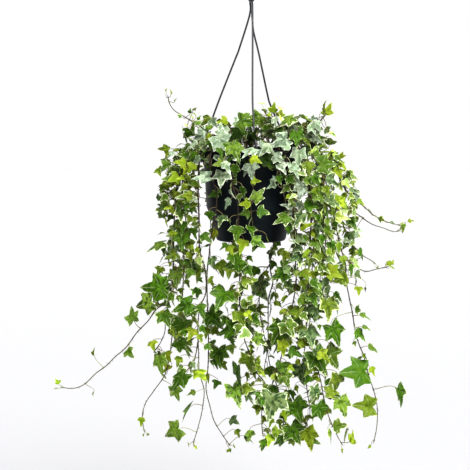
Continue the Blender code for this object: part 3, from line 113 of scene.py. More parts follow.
# Stems, mm: where the stem stands in the soil (x, y), then the routes. A route's points are
# (x, z, y). The first route starts in the soil, and each other one branches off it.
SPRAYS = {
    "trail_far_left": ((-45, -12), (
     ((-90, -272, -25), (-108, -310, -34), (-114, -360, -32), (-116, -410, -28), (-117, -450, -25),
     (-119, -475, -22), (-124, -500, -20), (-129, -520, -20), (-130, -545, -18), (-137, -562, -15),
     (-146, -575, -12)),
     ((-124, -500, -20), (-142, -510, -30), (-155, -528, -38), (-173, -547, -45), (-188, -568, -50),
     (-205, -583, -55), (-219, -597, -60), (-235, -609, -64), (-253, -626, -66), (-270, -632, -66),
     (-290, -630, -64)),)),
    "trail_left_long": ((-48, 8), (
     ((-92, -273, 12), (-102, -310, 24), (-104, -370, 32), (-101, -430, 38), (-102, -470, 40),
     (-104, -495, 40), (-110, -520, 40), (-119, -552, 38), (-122, -577, 36), (-130, -610, 32),
     (-148, -637, 28), (-160, -655, 24), (-165, -676, 20), (-162, -700, 18)),)),
    "trail_left_inner": ((-38, -30), (
     ((-74, -275, -57), (-79, -320, -62), (-78, -370, -60), (-77, -420, -55), (-69, -450, -50),
     (-68, -485, -48), (-77, -508, -50), (-80, -540, -50), (-79, -580, -48), (-78, -608, -44),
     (-71, -634, -38), (-73, -660, -36), (-77, -680, -36), (-83, -702, -36), (-88, -718, -36)),
     ((-80, -560, -49), (-83, -578, -56), (-87, -592, -60), (-95, -602, -62), (-99, -608, -64)),)),
    "trail_left_front": ((-30, -42), (
     ((-60, -276, -75), (-60, -305, -76), (-52, -335, -72), (-53, -365, -68), (-60, -400, -60),
     (-63, -430, -42), (-66, -455, -28), (-66, -490, -14), (-65, -530, 0), (-64, -565, 10),
     (-65, -600, 15), (-68, -632, 15), (-62, -660, 14), (-56, -682, 12), (-45, -701, 10),
     (-31, -722, 8)),)),
    "trail_centre": ((-12, -50), (
     ((-24, -278, -88), (-29, -305, -84), (-27, -325, -80), (-20, -350, -78), (-19, -380, -70),
     (-19, -410, -62), (-17, -445, -55), (-17, -470, -50), (-17, -500, -46), (-13, -528, -42),
     (-11, -552, -40), (-4, -573, -38), (2, -592, -36), (10, -609, -34), (20, -622, -32),
     (23, -640, -30), (17, -665, -28), (17, -690, -26), (19, -708, -25)),)),
    "trail_centre_back": ((15, 40), (
     ((30, -278, 90), (34, -340, 86), (36, -395, 78), (31, -425, 66), (28, -442, 58), (20, -458, 50),
     (13, -488, 46), (13, -512, 44), (17, -535, 42), (22, -560, 40), (24, -578, 38), (21, -597, 36),
     (19, -615, 34)),
     ((28, -442, 58), (30, -456, 52), (33, -470, 46), (27, -492, 38), (26, -510, 34), (26, -530, 30),
     (26, -555, 26), (25, -570, 22), (28, -592, 18), (34, -612, 14), (41, -632, 10), (47, -652, 8),
     (50, -675, 6), (48, -700, 5)),)),
    "trail_right_inner": ((30, -36), (
     ((50, -276, -76), (58, -310, -72), (62, -350, -68), (66, -395, -58), (67, -440, -48),
     (68, -468, -42), (65, -492, -38), (62, -512, -36), (60, -535, -34), (56, -560, -32),
     (47, -580, -30), (44, -592, -28), (38, -610, -26), (32, -625, -22)),)),
    "trail_right_front": ((42, -24), (
     ((76, -278, -54), (86, -320, -58), (90, -370, -54), (88, -420, -46), (86, -470, -40),
     (87, -505, -36), (84, -535, -33), (87, -560, -32), (96, -575, -34), (101, -600, -36),
     (107, -625, -38), (111, -648, -40), (118, -674, -42), (126, -693, -44), (134, -710, -45),
     (141, -721, -46)),)),
    "trail_right_back": ((44, 20), (
     ((82, -278, 42), (92, -330, 52), (95, -390, 54), (92, -450, 48), (90, -520, 40), (84, -555, 34),
     (80, -585, 30), (83, -617, 26), (87, -645, 24), (90, -668, 22), (86, -683, 20), (80, -694, 19)),)),
    "trail_far_right": ((50, -5), (
     ((92, -275, -8), (112, -320, -16), (124, -370, -18), (134, -415, -18), (142, -440, -18),
     (143, -465, -18), (148, -492, -18), (153, -515, -20), (157, -540, -22), (163, -563, -24),
     (171, -582, -26), (178, -610, -26), (187, -637, -24), (192, -660, -22), (192, -690, -18),
     (187, -718, -14)),
     ((117, -340, -17), (135, -354, -12), (158, -366, -6), (180, -381, 0), (200, -388, 4),
     (214, -393, 6), (225, -390, 7)),
     ((138, -428, -18), (147, -438, -10), (155, -444, -4), (172, -453, 2), (190, -449, 6),
     (202, -447, 8), (209, -445, 8)),)),
    "tip_right": ((46, 8), (
     ((94, -264, 20), (112, -284, 36), (128, -305, 46), (140, -328, 50), (152, -342, 53),
     (170, -356, 54), (182, -367, 55), (200, -377, 56), (217, -382, 56), (226, -384, 56)),)),
    "edge_right": ((36, 12), (
     ((92, -268, 32), (110, -300, 38), (126, -345, 34), (137, -380, 28), (146, -402, 24),
     (156, -417, 20), (168, -429, 16), (180, -436, 14), (188, -442, 14)),)),
    "curtain_left": ((-42, -20), (
     ((-84, -270, -42), (-98, -300, -50), (-100, -330, -50), (-98, -370, -46), (-96, -410, -42),
     (-92, -440, -40)),)),
    "curtain_outer": ((-39, -2), (
     ((-92, -266, -6), (-108, -285, -10), (-120, -315, -10), (-126, -345, -8), (-125, -372, -5)),)),
    "curtain_front": ((12, -48), (
     ((30, -277, -88), (40, -300, -82), (46, -325, -76), (52, -350, -72), (55, -372, -68)),)),
    "curtain_middle": ((2, -46), (
     ((3, -276, -92), (6, -300, -86), (3, -330, -82), (0, -360, -78), (4, -390, -70),
     (6, -404, -66)),)),
    "curtain_right": ((40, -12), (
     ((86, -270, -32), (102, -300, -44), (112, -340, -48), (114, -385, -44), (110, -425, -40),
     (104, -465, -36), (108, -495, -34)),)),
    "shoot_left": ((-25, -15), (
     ((-70, -240, -28), (-88, -228, -34), (-103, -219, -36), (-114, -212, -36), (-121, -202, -36),
     (-124, -189, -36)),)),
    "shoot_right": ((28, -4), (
     ((70, -248, -10), (90, -236, -10), (104, -226, -10), (112, -217, -10)),)),
    "mound_front": ((-5, -35), (
     ((-10, -258, -52), (-16, -248, -62), (-26, -254, -76), (-34, -270, -88), (-42, -286, -94)),)),
    "mound_left": ((-28, 0), (
     ((-42, -260, -16), (-54, -249, -26), (-70, -250, -36), (-86, -262, -44)),)),
    "mound_top": ((0, -8), (
     ((3, -256, -14), (10, -240, -20), (21, -228, -26), (32, -216, -28)),)),
    "mound_right": ((22, -22), (
     ((32, -256, -34), (44, -244, -46), (58, -245, -56), (70, -256, -64)),)),
    "mound_centre": ((-14, 10), (
     ((-18, -256, 4), (-28, -240, -2), (-42, -232, -6), (-54, -236, -12)),)),
    "mound_back": ((5, 20), (
     ((8, -254, 32), (12, -242, 46), (14, -244, 64), (16, -262, 84), (18, -290, 94)),)),
    "back_left": ((-30, 32), (
     ((-58, -274, 70), (-66, -310, 78), (-62, -360, 76), (-60, -396, 70)),)),
    "back_centre": ((-8, 46), (
     ((-18, -276, 92), (-20, -320, 88), (-14, -370, 80), (-16, -396, 74)),)),
    "back_right": ((27, 45), (
     ((50, -276, 80), (54, -320, 84), (50, -370, 80), (48, -398, 74)),)),
    "back_far_left": ((-44, 26), (
     ((-82, -270, 50), (-98, -310, 68), (-104, -360, 74), (-103, -410, 72), (-98, -445, 68)),)),
    "back_far_right": ((46, 27), (
     ((78, -272, 66), (90, -310, 84), (102, -350, 92), (108, -400, 92), (106, -450, 86),
     (112, -490, 80)),)),
}

# Leaves that the front view shows, mm: x and z of the blade's middle, its length, the way its
# tip points (degrees, 0 to the right, 90 up), how it is turned (f facing the viewer, t tilted,
# s side on, u seen along its face) and its colour, a letter of TONES
LEAVES = (
    # Mound above the rim
    (-45, -243, 22, 90, "fs"), (-45, -257, 34, -50, "fs"), (-25, -268, 36, -60, "fs"),
    (9, -255, 32, -80, "fs"), (-15, -232, 34, -10, "us"), (-20, -243, 30, -5, "us"),
    (-13, -226, 16, 0, "ud"), (-3, -231, 18, -80, "ts"), (14, -226, 20, -90, "fg"),
    (27, -216, 9, 60, "fl"), (33, -211, 18, 80, "tl"), (34, -227, 18, -60, "ts"),
    (42, -240, 24, -80, "fd"), (20, -237, 14, -40, "td"), (23, -272, 32, -20, "fs"),
    (-40, -228, 20, 200, "tl"), (-57, -228, 18, -60, "fs"), (-60, -246, 12, 200, "tl"),
    (-58, -259, 20, -90, "td"), (-74, -250, 24, 200, "fs"), (-85, -263, 24, 200, "fs"),
    # Upright shoot at the left
    (-119, -186, 9, 110, "sl"), (-126, -182, 6, 80, "tl"), (-113, -197, 8, 60, "sl"),
    (-91, -214, 9, 80, "td"), (-78, -224, 10, 60, "td"), (-79, -231, 15, 150, "fg"),
    (-87, -237, 19, 190, "fg"), (-106, -262, 13, 200, "ss"), (-118, -278, 20, 200, "ss"),
    (-104, -274, 10, 200, "td"), (-115, -286, 12, 220, "td"), (-91, -272, 10, 220, "tl"),
    # Right of the mound
    (78, -224, 26, 0, "ul"), (113, -213, 22, 70, "tl"), (67, -236, 26, 180, "ug"),
    (68, -250, 30, -90, "fd"), (91, -243, 18, 60, "ts"), (101, -253, 22, 5, "fg"),
    (85, -259, 14, 20, "sl"), (99, -267, 13, -20, "fg"), (110, -274, 28, 10, "ul"),
    (123, -273, 11, 20, "tl"), (128, -283, 20, -10, "tg"), (109, -292, 36, 0, "fs"),
    (53, -268, 18, 130, "ts"), (71, -278, 28, -100, "fs"), (86, -294, 24, -90, "to"),
    # Front of the pot
    (-43, -310, 30, -95, "fs"), (-70, -311, 30, 190, "fs"), (0, -297, 27, -90, "fs"),
    (4, -317, 17, 0, "fl"), (9, -340, 28, 45, "fg"), (-6, -350, 20, 180, "fl"),
    (-7, -364, 18, 200, "fg"), (15, -362, 22, -10, "fd"), (-44, -372, 25, -100, "ft"),
    (-32, -376, 10, -90, "tg"), (-21, -391, 27, -90, "fd"), (-2, -390, 24, -90, "fd"),
    (-40, -414, 17, -130, "td"), (-32, -418, 19, -60, "fl"), (-12, -411, 26, -110, "fl"),
    (-50, -284, 26, 0, "us"), (-20, -285, 30, 200, "us"), (4, -285, 20, -20, "fl"),
    (22, -286, 30, -40, "fs"), (43, -297, 22, -60, "fs"), (64, -298, 28, -60, "fs"),
    (75, -327, 32, -85, "fs"), (59, -340, 16, -70, "fl"), (57, -355, 20, 160, "ss"),
    (49, -372, 28, 215, "tg"), (73, -371, 28, -100, "ft"), (41, -313, 16, -60, "td"),
    (57, -314, 20, -30, "td"), (-62, -367, 20, -90, "td"), (-66, -402, 24, -60, "fd"),
    (-34, -348, 20, -130, "ss"), (-32, -335, 18, -90, "ss"), (-13, -331, 24, -100, "td"),
    (-22, -301, 26, -90, "td"), (-80, -285, 22, 200, "fs"), (8, -407, 26, -30, "fg"),
    # Left of the pot
    (-130, -351, 33, 215, "fg"), (-95, -340, 29, 190, "fg"), (-84, -344, 15, 200, "ts"),
    (-90, -357, 17, -100, "td"), (-115, -385, 12, 190, "tg"), (-100, -384, 26, -100, "fd"),
    (-88, -392, 24, -80, "td"), (-103, -403, 30, -95, "fd"), (-139, -413, 35, 197, "tg"),
    (-112, -418, 18, 190, "st"), (-118, -428, 22, 200, "to"), (-121, -441, 10, 240, "tl"),
    (-92, -428, 22, -70, "to"), (-97, -438, 16, -60, "td"), (-86, -447, 38, 5, "tt"),
    (-106, -447, 14, 190, "tl"), (-112, -460, 28, -90, "fg"), (-97, -461, 18, -70, "tg"),
    (-66, -414, 15, 180, "sd"), (-58, -437, 22, -60, "tt"), (-80, -420, 16, -60, "to"),
    # Below the pot, left
    (-116, -473, 15, -80, "to"), (-140, -478, 44, 182, "fd"), (-154, -500, 33, 215, "fg"),
    (-141, -503, 13, -10, "tg"), (-106, -481, 13, -80, "fo"), (-90, -494, 20, 0, "ug"),
    (-98, -505, 36, -160, "fd"), (-80, -483, 20, -110, "td"), (-178, -522, 30, 110, "fg"),
    (-130, -522, 32, -60, "fd"), (-120, -543, 21, -60, "fo"), (-103, -538, 38, -110, "fd"),
    (-88, -545, 23, -120, "fl"), (-79, -552, 15, -80, "to"), (-74, -540, 17, -40, "td"),
    (-106, -565, 34, -20, "fd"), (-149, -563, 18, -80, "fl"), (-138, -590, 34, -85, "fg"),
    (-87, -595, 14, -60, "tt"), (-106, -617, 40, -125, "td"), (-115, -636, 28, -70, "tg"),
    (-88, -638, 16, 210, "tg"), (-185, -576, 24, -40, "fg"), (-238, -578, 14, 80, "to"),
    (-293, -623, 11, 110, "tl"), (-239, -639, 9, -80, "so"), (-166, -681, 17, -100, "fl"),
    (-65, -612, 18, -85, "so"), (-95, -664, 34, -140, "sd"), (-116, -698, 33, 208, "tg"),
    # Below the pot, middle
    (-24, -438, 38, 215, "fd"), (-8, -440, 16, -60, "st"), (-5, -451, 22, -50, "td"),
    (-45, -445, 26, -85, "fo"), (-61, -466, 17, -40, "to"), (-42, -490, 44, -115, "fd"),
    (-53, -480, 18, -100, "td"), (-9, -468, 20, 0, "to"), (-22, -488, 16, -95, "so"),
    (-9, -503, 24, 10, "tg"), (8, -452, 22, -120, "fd"), (22, -456, 16, -60, "to"),
    (13, -476, 42, -60, "ft"), (7, -506, 11, -60, "to"), (30, -506, 24, -85, "sd"),
    (37, -490, 13, -40, "to"), (-57, -522, 38, -50, "fd"), (-17, -521, 28, -70, "fo"),
    (-5, -518, 18, -60, "tl"), (4, -522, 16, 70, "sd"), (-36, -511, 15, -70, "st"),
    (-31, -543, 38, 180, "fd"), (-30, -557, 26, -90, "td"), (-17, -571, 11, -30, "st"),
    (-48, -579, 37, -85, "td"), (-19, -607, 37, -95, "td"), (-1, -590, 33, -95, "to"),
    (9, -598, 20, -40, "to"), (-5, -611, 18, -100, "so"), (11, -556, 28, -30, "tg"),
    (29, -552, 17, -60, "to"), (11, -568, 13, -110, "so"), (-3, -534, 15, -130, "sd"),
    (-24, -638, 43, -70, "fg"), (-7, -633, 23, 0, "fo"), (-27, -681, 18, -35, "tt"),
    (-5, -707, 22, -30, "sd"), (28, -605, 25, -60, "fg"), (45, -600, 25, 40, "fd"),
    (51, -615, 30, -60, "fg"), (36, -616, 17, -80, "to"), (22, -629, 13, -60, "to"),
    (33, -656, 46, -110, "ft"), (19, -643, 27, -100, "fd"), (11, -662, 19, -100, "fo"),
    (21, -680, 15, -120, "to"), (52, -671, 19, -80, "fl"), (44, -684, 17, -90, "to"),
    (38, -699, 24, 0, "fo"), (30, -709, 24, -110, "fl"), (20, -717, 20, -110, "fd"),
    (51, -709, 34, -100, "td"), (51, -646, 17, -40, "tl"),
    # Below the pot, right
    (50, -440, 23, 0, "fd"), (47, -457, 28, 200, "fd"), (40, -463, 13, -90, "to"),
    (58, -480, 29, -8, "sg"), (72, -417, 21, 200, "ft"), (70, -429, 24, 215, "ft"),
    (83, -426, 20, -60, "to"), (96, -409, 25, -60, "fg"), (103, -427, 28, -20, "fo"),
    (106, -402, 20, -90, "td"), (108, -445, 24, -45, "tg"), (122, -455, 29, -30, "fl"),
    (80, -455, 24, -60, "fo"), (90, -457, 17, -40, "tl"), (80, -470, 21, -80, "to"),
    (113, -467, 22, -70, "tt"), (116, -481, 26, -60, "tt"), (98, -478, 27, -60, "fg"),
    (78, -495, 27, -30, "fg"), (115, -506, 38, -85, "fo"), (97, -511, 29, -85, "ft"),
    (128, -503, 25, -65, "st"), (88, -438, 20, -80, "to"), (107, -415, 18, -70, "tg"),
    (66, -516, 28, 180, "to"), (79, -521, 20, -50, "tg"), (76, -541, 23, -90, "fo"),
    (88, -547, 37, -80, "ft"), (103, -537, 12, -80, "tg"), (95, -521, 14, -80, "td"),
    (44, -543, 40, -120, "fd"), (56, -538, 30, -60, "fg"), (37, -531, 15, 120, "to"),
    (50, -524, 15, 90, "td"), (46, -567, 28, -60, "tl"), (53, -556, 24, -20, "tl"),
    (126, -544, 40, -68, "td"), (121, -566, 20, -70, "st"), (77, -562, 24, -10, "tl"),
    (64, -575, 27, -30, "fd"), (59, -581, 15, 180, "tg"), (101, -586, 46, -65, "td"),
    (119, -582, 40, -50, "fg"), (72, -591, 17, -60, "tl"), (85, -593, 15, -60, "tl"),
    (77, -606, 37, -80, "ft"), (99, -561, 15, -80, "tg"), (132, -619, 35, -88, "to"),
    (138, -656, 35, -80, "tg"), (121, -638, 29, 0, "fo"), (95, -637, 31, -80, "tt"),
    (104, -664, 29, -70, "sd"), (97, -664, 18, -15, "to"), (132, -690, 27, 0, "fg"),
    (121, -703, 26, -80, "to"), (144, -700, 25, -100, "sg"), (87, -704, 38, -75, "fl"),
    (68, -662, 39, -60, "fd"), (65, -698, 38, -65, "td"), (69, -632, 15, -60, "tl"),
    (63, -712, 20, -60, "to"), (94, -714, 22, -20, "tg"), (153, -710, 24, 60, "fl"),
    # Right of the pot
    (57, -388, 16, -90, "td"), (116, -314, 27, -50, "tt"), (113, -330, 21, -60, "to"),
    (100, -338, 30, -50, "tg"), (119, -347, 34, -20, "ft"), (89, -350, 27, 0, "td"),
    (141, -343, 15, 60, "fl"), (131, -353, 28, -10, "tl"), (136, -364, 27, 0, "ul"),
    (151, -377, 27, -60, "fd"), (162, -347, 17, -40, "to"), (75, -353, 20, -90, "ts"),
    (88, -366, 17, -90, "tg"), (80, -387, 25, 0, "ul"), (138, -392, 15, -90, "tl"),
    (150, -399, 23, -60, "tt"), (147, -412, 17, -150, "fo"), (144, -401, 15, -50, "sd"),
    (154, -415, 23, -65, "sd"), (164, -424, 23, -45, "sd"), (100, -386, 20, -80, "fo"),
    (112, -379, 20, -60, "tg"), (119, -393, 18, -70, "to"), (126, -381, 18, -60, "td"),
    (95, -395, 22, -60, "tl"), (131, -414, 20, -90, "to"), (122, -412, 19, -60, "td"),
    (110, -361, 20, -60, "td"), (95, -313, 22, -50, "td"), (103, -304, 20, -70, "to"),
    (114, -306, 16, -40, "ts"), (100, -372, 20, -80, "td"), (84, -404, 14, -100, "to"),
    (72, -404, 20, -20, "tt"),
    # Long thin shoots at the right
    (141, -325, 10, -50, "ft"), (151, -330, 18, -15, "tt"), (177, -361, 11, -40, "st"),
    (187, -370, 7, -30, "st"), (194, -374, 14, -20, "to"), (211, -379, 12, -30, "st"),
    (228, -386, 18, -70, "tg"), (238, -377, 11, 10, "tl"), (208, -440, 13, -60, "tl"),
    # Long stem at the right
    (150, -446, 23, -85, "sd"), (156, -457, 18, -60, "tt"), (139, -463, 27, 200, "fo"),
    (158, -467, 15, -60, "sd"), (162, -480, 17, -90, "fl"), (168, -482, 9, -80, "sd"),
    (132, -475, 13, -20, "so"), (160, -511, 17, -20, "fg"), (169, -521, 22, -35, "sg"),
    (173, -538, 18, -30, "sg"), (163, -547, 25, -40, "fd"), (157, -562, 11, -70, "tg"),
    (182, -569, 22, -12, "sg"), (171, -582, 13, -40, "to"), (163, -602, 47, 185, "fd"),
    (182, -603, 17, -60, "tl"), (177, -660, 37, 165, "fo"), (225, -640, 37, -65, "sd"),
)

# Crowded places: how many leaves, the box they fill in the front view (x, z), the lengths, the
# ways their tips point and their turns and colours to draw from
CROWDS = (
    (24, (-130, -86), (-350, -282), (14, 22), (165, 275), "fftts", "lllg"),
    (22, (-88, 104), (-286, -226), (18, 31), (190, 350), "ffftu", "sssstd"),
    (10, (-126, -84), (-424, -346), (16, 27), (180, 290), "fftt", "ddgo"),
    (12, (84, 152), (-440, -298), (17, 27), (250, 350), "fftt", "ggdotl"),
    (10, (40, 132), (-650, -440), (16, 27), (235, 335), "fftts", "dogtd"),
    (8, (-128, -56), (-570, -430), (16, 26), (215, 310), "fftts", "dogd"),
    (8, (-40, 40), (-560, -400), (16, 24), (215, 325), "fftts", "dogd"),
)
CROWD_SEED = 11

# Leaves at the sides and the back, placed by rule along the stems
FILL_SEED, FILL_STEP, FILL_TRIES, FILL_SIZE = 23, 8, 6, (22, 36)
SOIL_LEAVES = 24
HIDDEN_SHARE = 0.86  # how much of such a leaf other leaves or the pot hide from the front

# The viewer's eye, mm: a table's x and z are where the sight line crosses the pot's axis plane
SIGHT = np.array([-24.0, -2000.0, -190.0])

# Half outlines of a leaf in lengths of the leaf, from the tip round to the notch at the stalk,
# which is the blade's origin
FIVE_LOBES = ((0, 0.80), (0.21, 0.37), (0.53, 0.33), (0.37, 0.04), (0.40, -0.25))
THREE_LOBES = ((0, 0.84), (0.19, 0.30), (0.52, 0.10))
ONE_LOBE = ((0, 0.82), (0.38, 0.04))
LARGE_LEAF, SMALL_LEAF = 27.5, 14.5  # which lengths get five lobes, and which only one
BLADE_THICK, STALK_HALF, STALK_DEEP = 1.4, 0.75, 1.4
HEART = 0.11  # from the notch to the heart, in leaf lengths
ARCH_ACROSS, ARCH_ALONG = 0.5, 0.36  # how fast a blade bends down across and along it
BLADE_MIDDLE = 0.22  # from the notch to the blade's middle, in lengths
LEAF_WIDTH, LEAF_ARCH = (0.9, 1.12), (0.25, 0.9)  # how leaves differ in width and in bend
TURN_ANGLES = {"s": 20, "t": 50, "f": 24, "u": 66}  # how far blades open or face up, degrees
SHORTEST_STALK, NOTCH_BACK = 8.0, 0.05
FOOT_RADIUS, FOOT_SPACE = 0.6, 3.2  # a stalk's foot, and the room it needs on its stem
LEAN = 9.0  # how far a leaf's notch lies in front of its stem
SHIFTS = (0, -6, 6, -12, 12, -19, 19, -27, 27, -36, 36, -46)  # depths to try in turn
LEAF_ROOM = 0.45  # how much thicker a leaf is when its place is tried
NO_PLACE = 1e6  # the cost of a site that is taken
MOST_THINGS = 4000  # room in the garden's list of boxes

STEM_RADIUS, TIP_RADIUS = 1.5, 1.2
ODD_WAY = (0.31, 0.95, 0.05)  # a direction that no tube starts along
CURVE_STEP, CURVE_SLACK = 6.0, 1.9
CREST_RADIUS = 69.0  # where a stem that hangs over the rim is highest
SITE_STEP, END_SPACE = 3.0, 3.0  # between a stem's sites, and from its bends, mm

# Finer surfaces, mm
POT_ROUND, SOIL_ROUND, HUB_ROUND = 128, 96, 40  # sides of each turned body
WIRE_ROUND, STRAND_ROUND, STEM_ROUND, STALK_ROUND = 16, 12, 6, 5
WIRE_STEP, STRAND_STEP, STEM_STEP = 1.5, 4.0, 3.0  # between rings
SOIL_RINGS = 34
NODE_SWELL, NODE_LENGTH = 0.45, 1.6  # how far a stem swells where a stalk springs
STALK_POINTS = 7
ROOT_SHARE, ROOT_CLUMP = 0.30, 3  # how many of a stem's rings bear roots, and how many
ROOT_TAPER = (0.26, 0.18, 0.08)  # a root's radius at its foot, middle and tip
ROOT_BEND = 0.33  # how far a root bends, in its own lengths
ROOT_SCATTER = 0.16  # how far a clump spreads, in pairs of stem steps

# Whole outlines of a leaf: from the tip to the notch, lobes' tips and the bays between them in
# turn, each an angle in degrees from the tip and a distance from the heart in leaf lengths
FIVE_LOBED = ((0, 0.78), (35, 0.37), (60, 0.58), (96, 0.38), (130, 0.47), (180, 0.12))
THREE_LOBED = ((0, 0.79), (37, 0.35), (71, 0.52), (180, 0.13))
UNLOBED = ((0, 0.76), (46, 0.33), (94, 0.36), (180, 0.14))

# Leaf colours, sRGB: the heart of the blade, its blotches and its margin, and how far out the
# margin starts, 0 at the heart and 1 at the edge. The tables name a colour by its letter.
TONES = {
    "s": ("silver", "6A7E5E", "A8B899", "DDE6D2", 0.95),
    "t": ("teal", "354E26", "6C8150", "C2CEA2", 0.94),
    "g": ("green", "405C12", "68832C", "D2D9B2", 0.92),
    "d": ("deep", "2E4F0A", "496D14", "B9C58E", 0.965),
    "l": ("lime", "687E14", "90A22E", "BACA5C", 0.98),
    "c": ("cream", "6C8C3C", "A6BC74", "DCE3BC", 0.80),
    "v": ("fresh", "9CB63E", "C2D67C", "E4ECAE", 0.92),
    # k is painted shade: a near-black green for leaves deep in the mound, in its thickets and over the
    # soil, standing in for the shade that falls there
    "k": ("painted_shade", "182A07", "273D0D", "455C22", 0.99),
    "o": ("olive", "4F6610", "788C2A", "C6CF92", 0.94),
}

# Small leaves that the scene adds, in the form of CROWDS: pale young clusters, hung in front
# where they can be, and thickets, hung behind the other leaves where they can be
CLUSTERS = (
    (6, (14, 54), (-226, -203), (13, 20), (20, 160), "ftu", "vvl"),
    (4, (100, 128), (-224, -200), (12, 18), (0, 120), "ft", "vl"),
    (7, (92, 140), (-288, -262), (14, 24), (-30, 30), "ftu", "vlc"),
    (9, (-106, -70), (-240, -208), (8, 15), (90, 200), "ftsu", "vclg"),
    (11, (104, 156), (-372, -336), (16, 28), (-40, 30), "ftu", "vvc"),
)
THICKETS = (
    # the letter k in the first two thickets gives their leaves the painted shade tone
    (44, (-60, 100), (-296, -222), (20, 32), (180, 350), "fftu", "ksgtdo"),
    (56, (-70, 104), (-296, -222), (13, 24), (180, 350), "fftus", "kkdtgos"),
    (30, (-104, -60), (-290, -244), (13, 24), (170, 300), "fftus", "sgdtd"),
    (90, (-138, -80), (-360, -268), (13, 21), (170, 290), "ffttu", "llogod"),
    (90, (-138, -80), (-360, -268), (10, 16), (170, 290), "fffttu", "llogo"),
    (16, (-60, 62), (-345, -280), (11, 20), (200, 330), "fftt", "sgdot"),
    (60, (-138, -74), (-470, -345), (12, 21), (190, 300), "fftts", "dgolc"),
    (50, (58, 136), (-310, -240), (15, 25), (225, 340), "ffttu", "gccolst"),
    (90, (58, 160), (-450, -300), (14, 24), (225, 340), "fttsu", "gcvolsc"),
    (110, (60, 160), (-455, -290), (11, 18), (225, 340), "ffttsu", "gcvolc"),
    (90, (-30, 140), (-680, -410), (15, 27), (225, 340), "fftts", "docldt"),
    (44, (-24, 104), (-640, -420), (12, 19), (225, 340), "fftt", "ocgl"),
    (30, (-30, 110), (-722, -630), (12, 22), (215, 330), "fftt", "dogl"),
    (40, (-140, -50), (-620, -440), (13, 25), (205, 320), "fftts", "dogld"),
    (32, (-60, 50), (-640, -390), (12, 22), (205, 330), "fftts", "dogl"),
)
IN_FRONT = (-6, -12, 0, -19, 6, 12)  # depths to try in turn
BEHIND = (6, 12, 19, 0, 27, -6, 36, -12)
LONGEST_STALK = 24.0  # of a small leaf, mm
HIDDEN_STEP, HIDDEN_SIZE = 3, (16, 30)  # the leaves that the front view doesn't show
SOIL_STALKS, SOIL_STALK = 260, (16, 46)  # leaves from the soil to try, and their heights
# painted shade: the second number is the share of the mound's silver leaves that turn darker, to k, t
# or g, standing in for the shade among them
MOUND_Z, MOUND_PAINTED_SHADE = -290.0, 0.16  # how many of the mound's silver leaves turn darker
OWN_STEM = 6.0  # a stalk that starts farther off a stem stands in the soil
THICKET_SEED, LOOK_SEED, SOIL_SEED = 41, 5, 8
TIP_TRIES, TIP_SIZE = 4, (7, 11)  # young leaves at the end of each stem
CRUMBS, CRUMB_SIZE = 240, (0.9, 2.6)

POT_SHARP = 40  # how sharp an edge stays a crease, degrees
# How far a blade that a solid has is turned from the solid's, and another at random, rad
SOLID_SWING, SWING, SWING_MOST = 0.25, 0.55, 1.1
LEAF_SLENDER = (0.78, 1.06)
LEAF_FOLD = (0.22, 0.20)  # how steeply a blade's halves rise from its midrib
LEAF_WAVE = (0.010, 0.034)  # how high the edge's waves are, in leaf lengths

# How much leaves differ: the lightness of each colour and of the stalk, the hue as a share of
# that, and where the margin starts
LOOK_JITTER = {"heart": 0.22, "blotch": 0.18, "margin": 0.08}
STALK_JITTER, HUE_SHARE, MARGIN_JITTER = 0.12, 0.22, 0.055
STALKS_BROWN = 0.62  # how many stalks have the browner colour

BLADE_FACE, BACK_FACE, STEM_FACE, STALK_FACE = range(4)
MIX_A, MIX_B, MIX_OUT = 6, 7, 2  # a Mix node's colour sockets

# Stage, m
FLOOR_GAP, FLOOR_HALF = 0.25, 12.0
CAMERA_AT, CAMERA_AIM = (-0.024, -2.0, -0.19), (-0.024, 0.0, -0.398)


def unit(vector):
    """The vector at length one."""
    return vector / np.linalg.norm(vector)


def seen_at(x, z, y):
    """The point at depth y that a viewer at SIGHT sees at (x, z) in the pot's axis plane."""
    grow = 1 + y / -SIGHT[1]
    return SIGHT + (np.array([x, 0.0, z]) - SIGHT) * grow


def seen_from(points):
    """Where the sight lines to points cross the pot's axis plane: rows of x and z."""
    points = np.atleast_2d(points)
    grow = 1 + points[:, 1] / -SIGHT[1]
    return (SIGHT + (points - SIGHT) / grow[:, None])[:, ::2]


def smooth_route(points, step):
    """Points about a step apart on a Catmull-Rom curve through a route's own points."""
    points = np.asarray(points, float)
    ends = np.vstack([2 * points[0] - points[1], points, 2 * points[-1] - points[-2]])
    runs = []
    for before, start, stop, after in zip(ends, ends[1:], ends[2:], ends[3:]):
        count = max(1, round(float(np.linalg.norm(stop - start)) / step))
        t = (np.arange(count) / count)[:, None]
        runs.append(0.5 * (2 * start + (stop - before) * t
                           + (2 * before - 5 * start + 4 * stop - after) * t ** 2
                           + (3 * start - before - 3 * stop + after) * t ** 3))
    runs.append(points[-1:])
    return np.vstack(runs)


def thinned(points, slack):
    """The fewest of a line's points that keep it within slack of where it ran."""
    first, last = points[0], points[-1]
    if len(points) < 3:
        return points
    along = unit(last - first)
    away = points - first
    off = np.linalg.norm(away - np.outer(away @ along, along), axis=1)
    worst = int(off.argmax())
    if off[worst] <= slack:
        return np.array([first, last])
    return np.vstack([thinned(points[:worst + 1], slack)[:-1], thinned(points[worst:], slack)])


def turned(vectors, old, new):
    """Vectors after the smallest turn that takes direction old to direction new."""
    axis = np.cross(old, new)
    cosine = float(old @ new)
    vectors = np.asarray(vectors)
    return (vectors * cosine + np.cross(axis, vectors)
            + np.multiply.outer(vectors @ axis, axis) / max(1e-6, 1 + cosine))


def tube_rings(points, radii, sides):
    """Rings of corners round a line of points, without twist: an array (points, sides, 3)."""
    heads = np.gradient(points, axis=0)
    heads /= np.linalg.norm(heads, axis=1)[:, None]
    across = unit(np.cross(heads[0], ODD_WAY))
    turn = np.arange(sides) * 2 * math.pi / sides
    rings = []
    for index, (point, head) in enumerate(zip(points, heads)):
        if index:
            across = turned(across, heads[index - 1], head)
        up = np.cross(head, across)
        circle = np.outer(np.cos(turn), across) + np.outer(np.sin(turn), up)
        rings.append(point + radii[index] * circle)
    return np.array(rings)


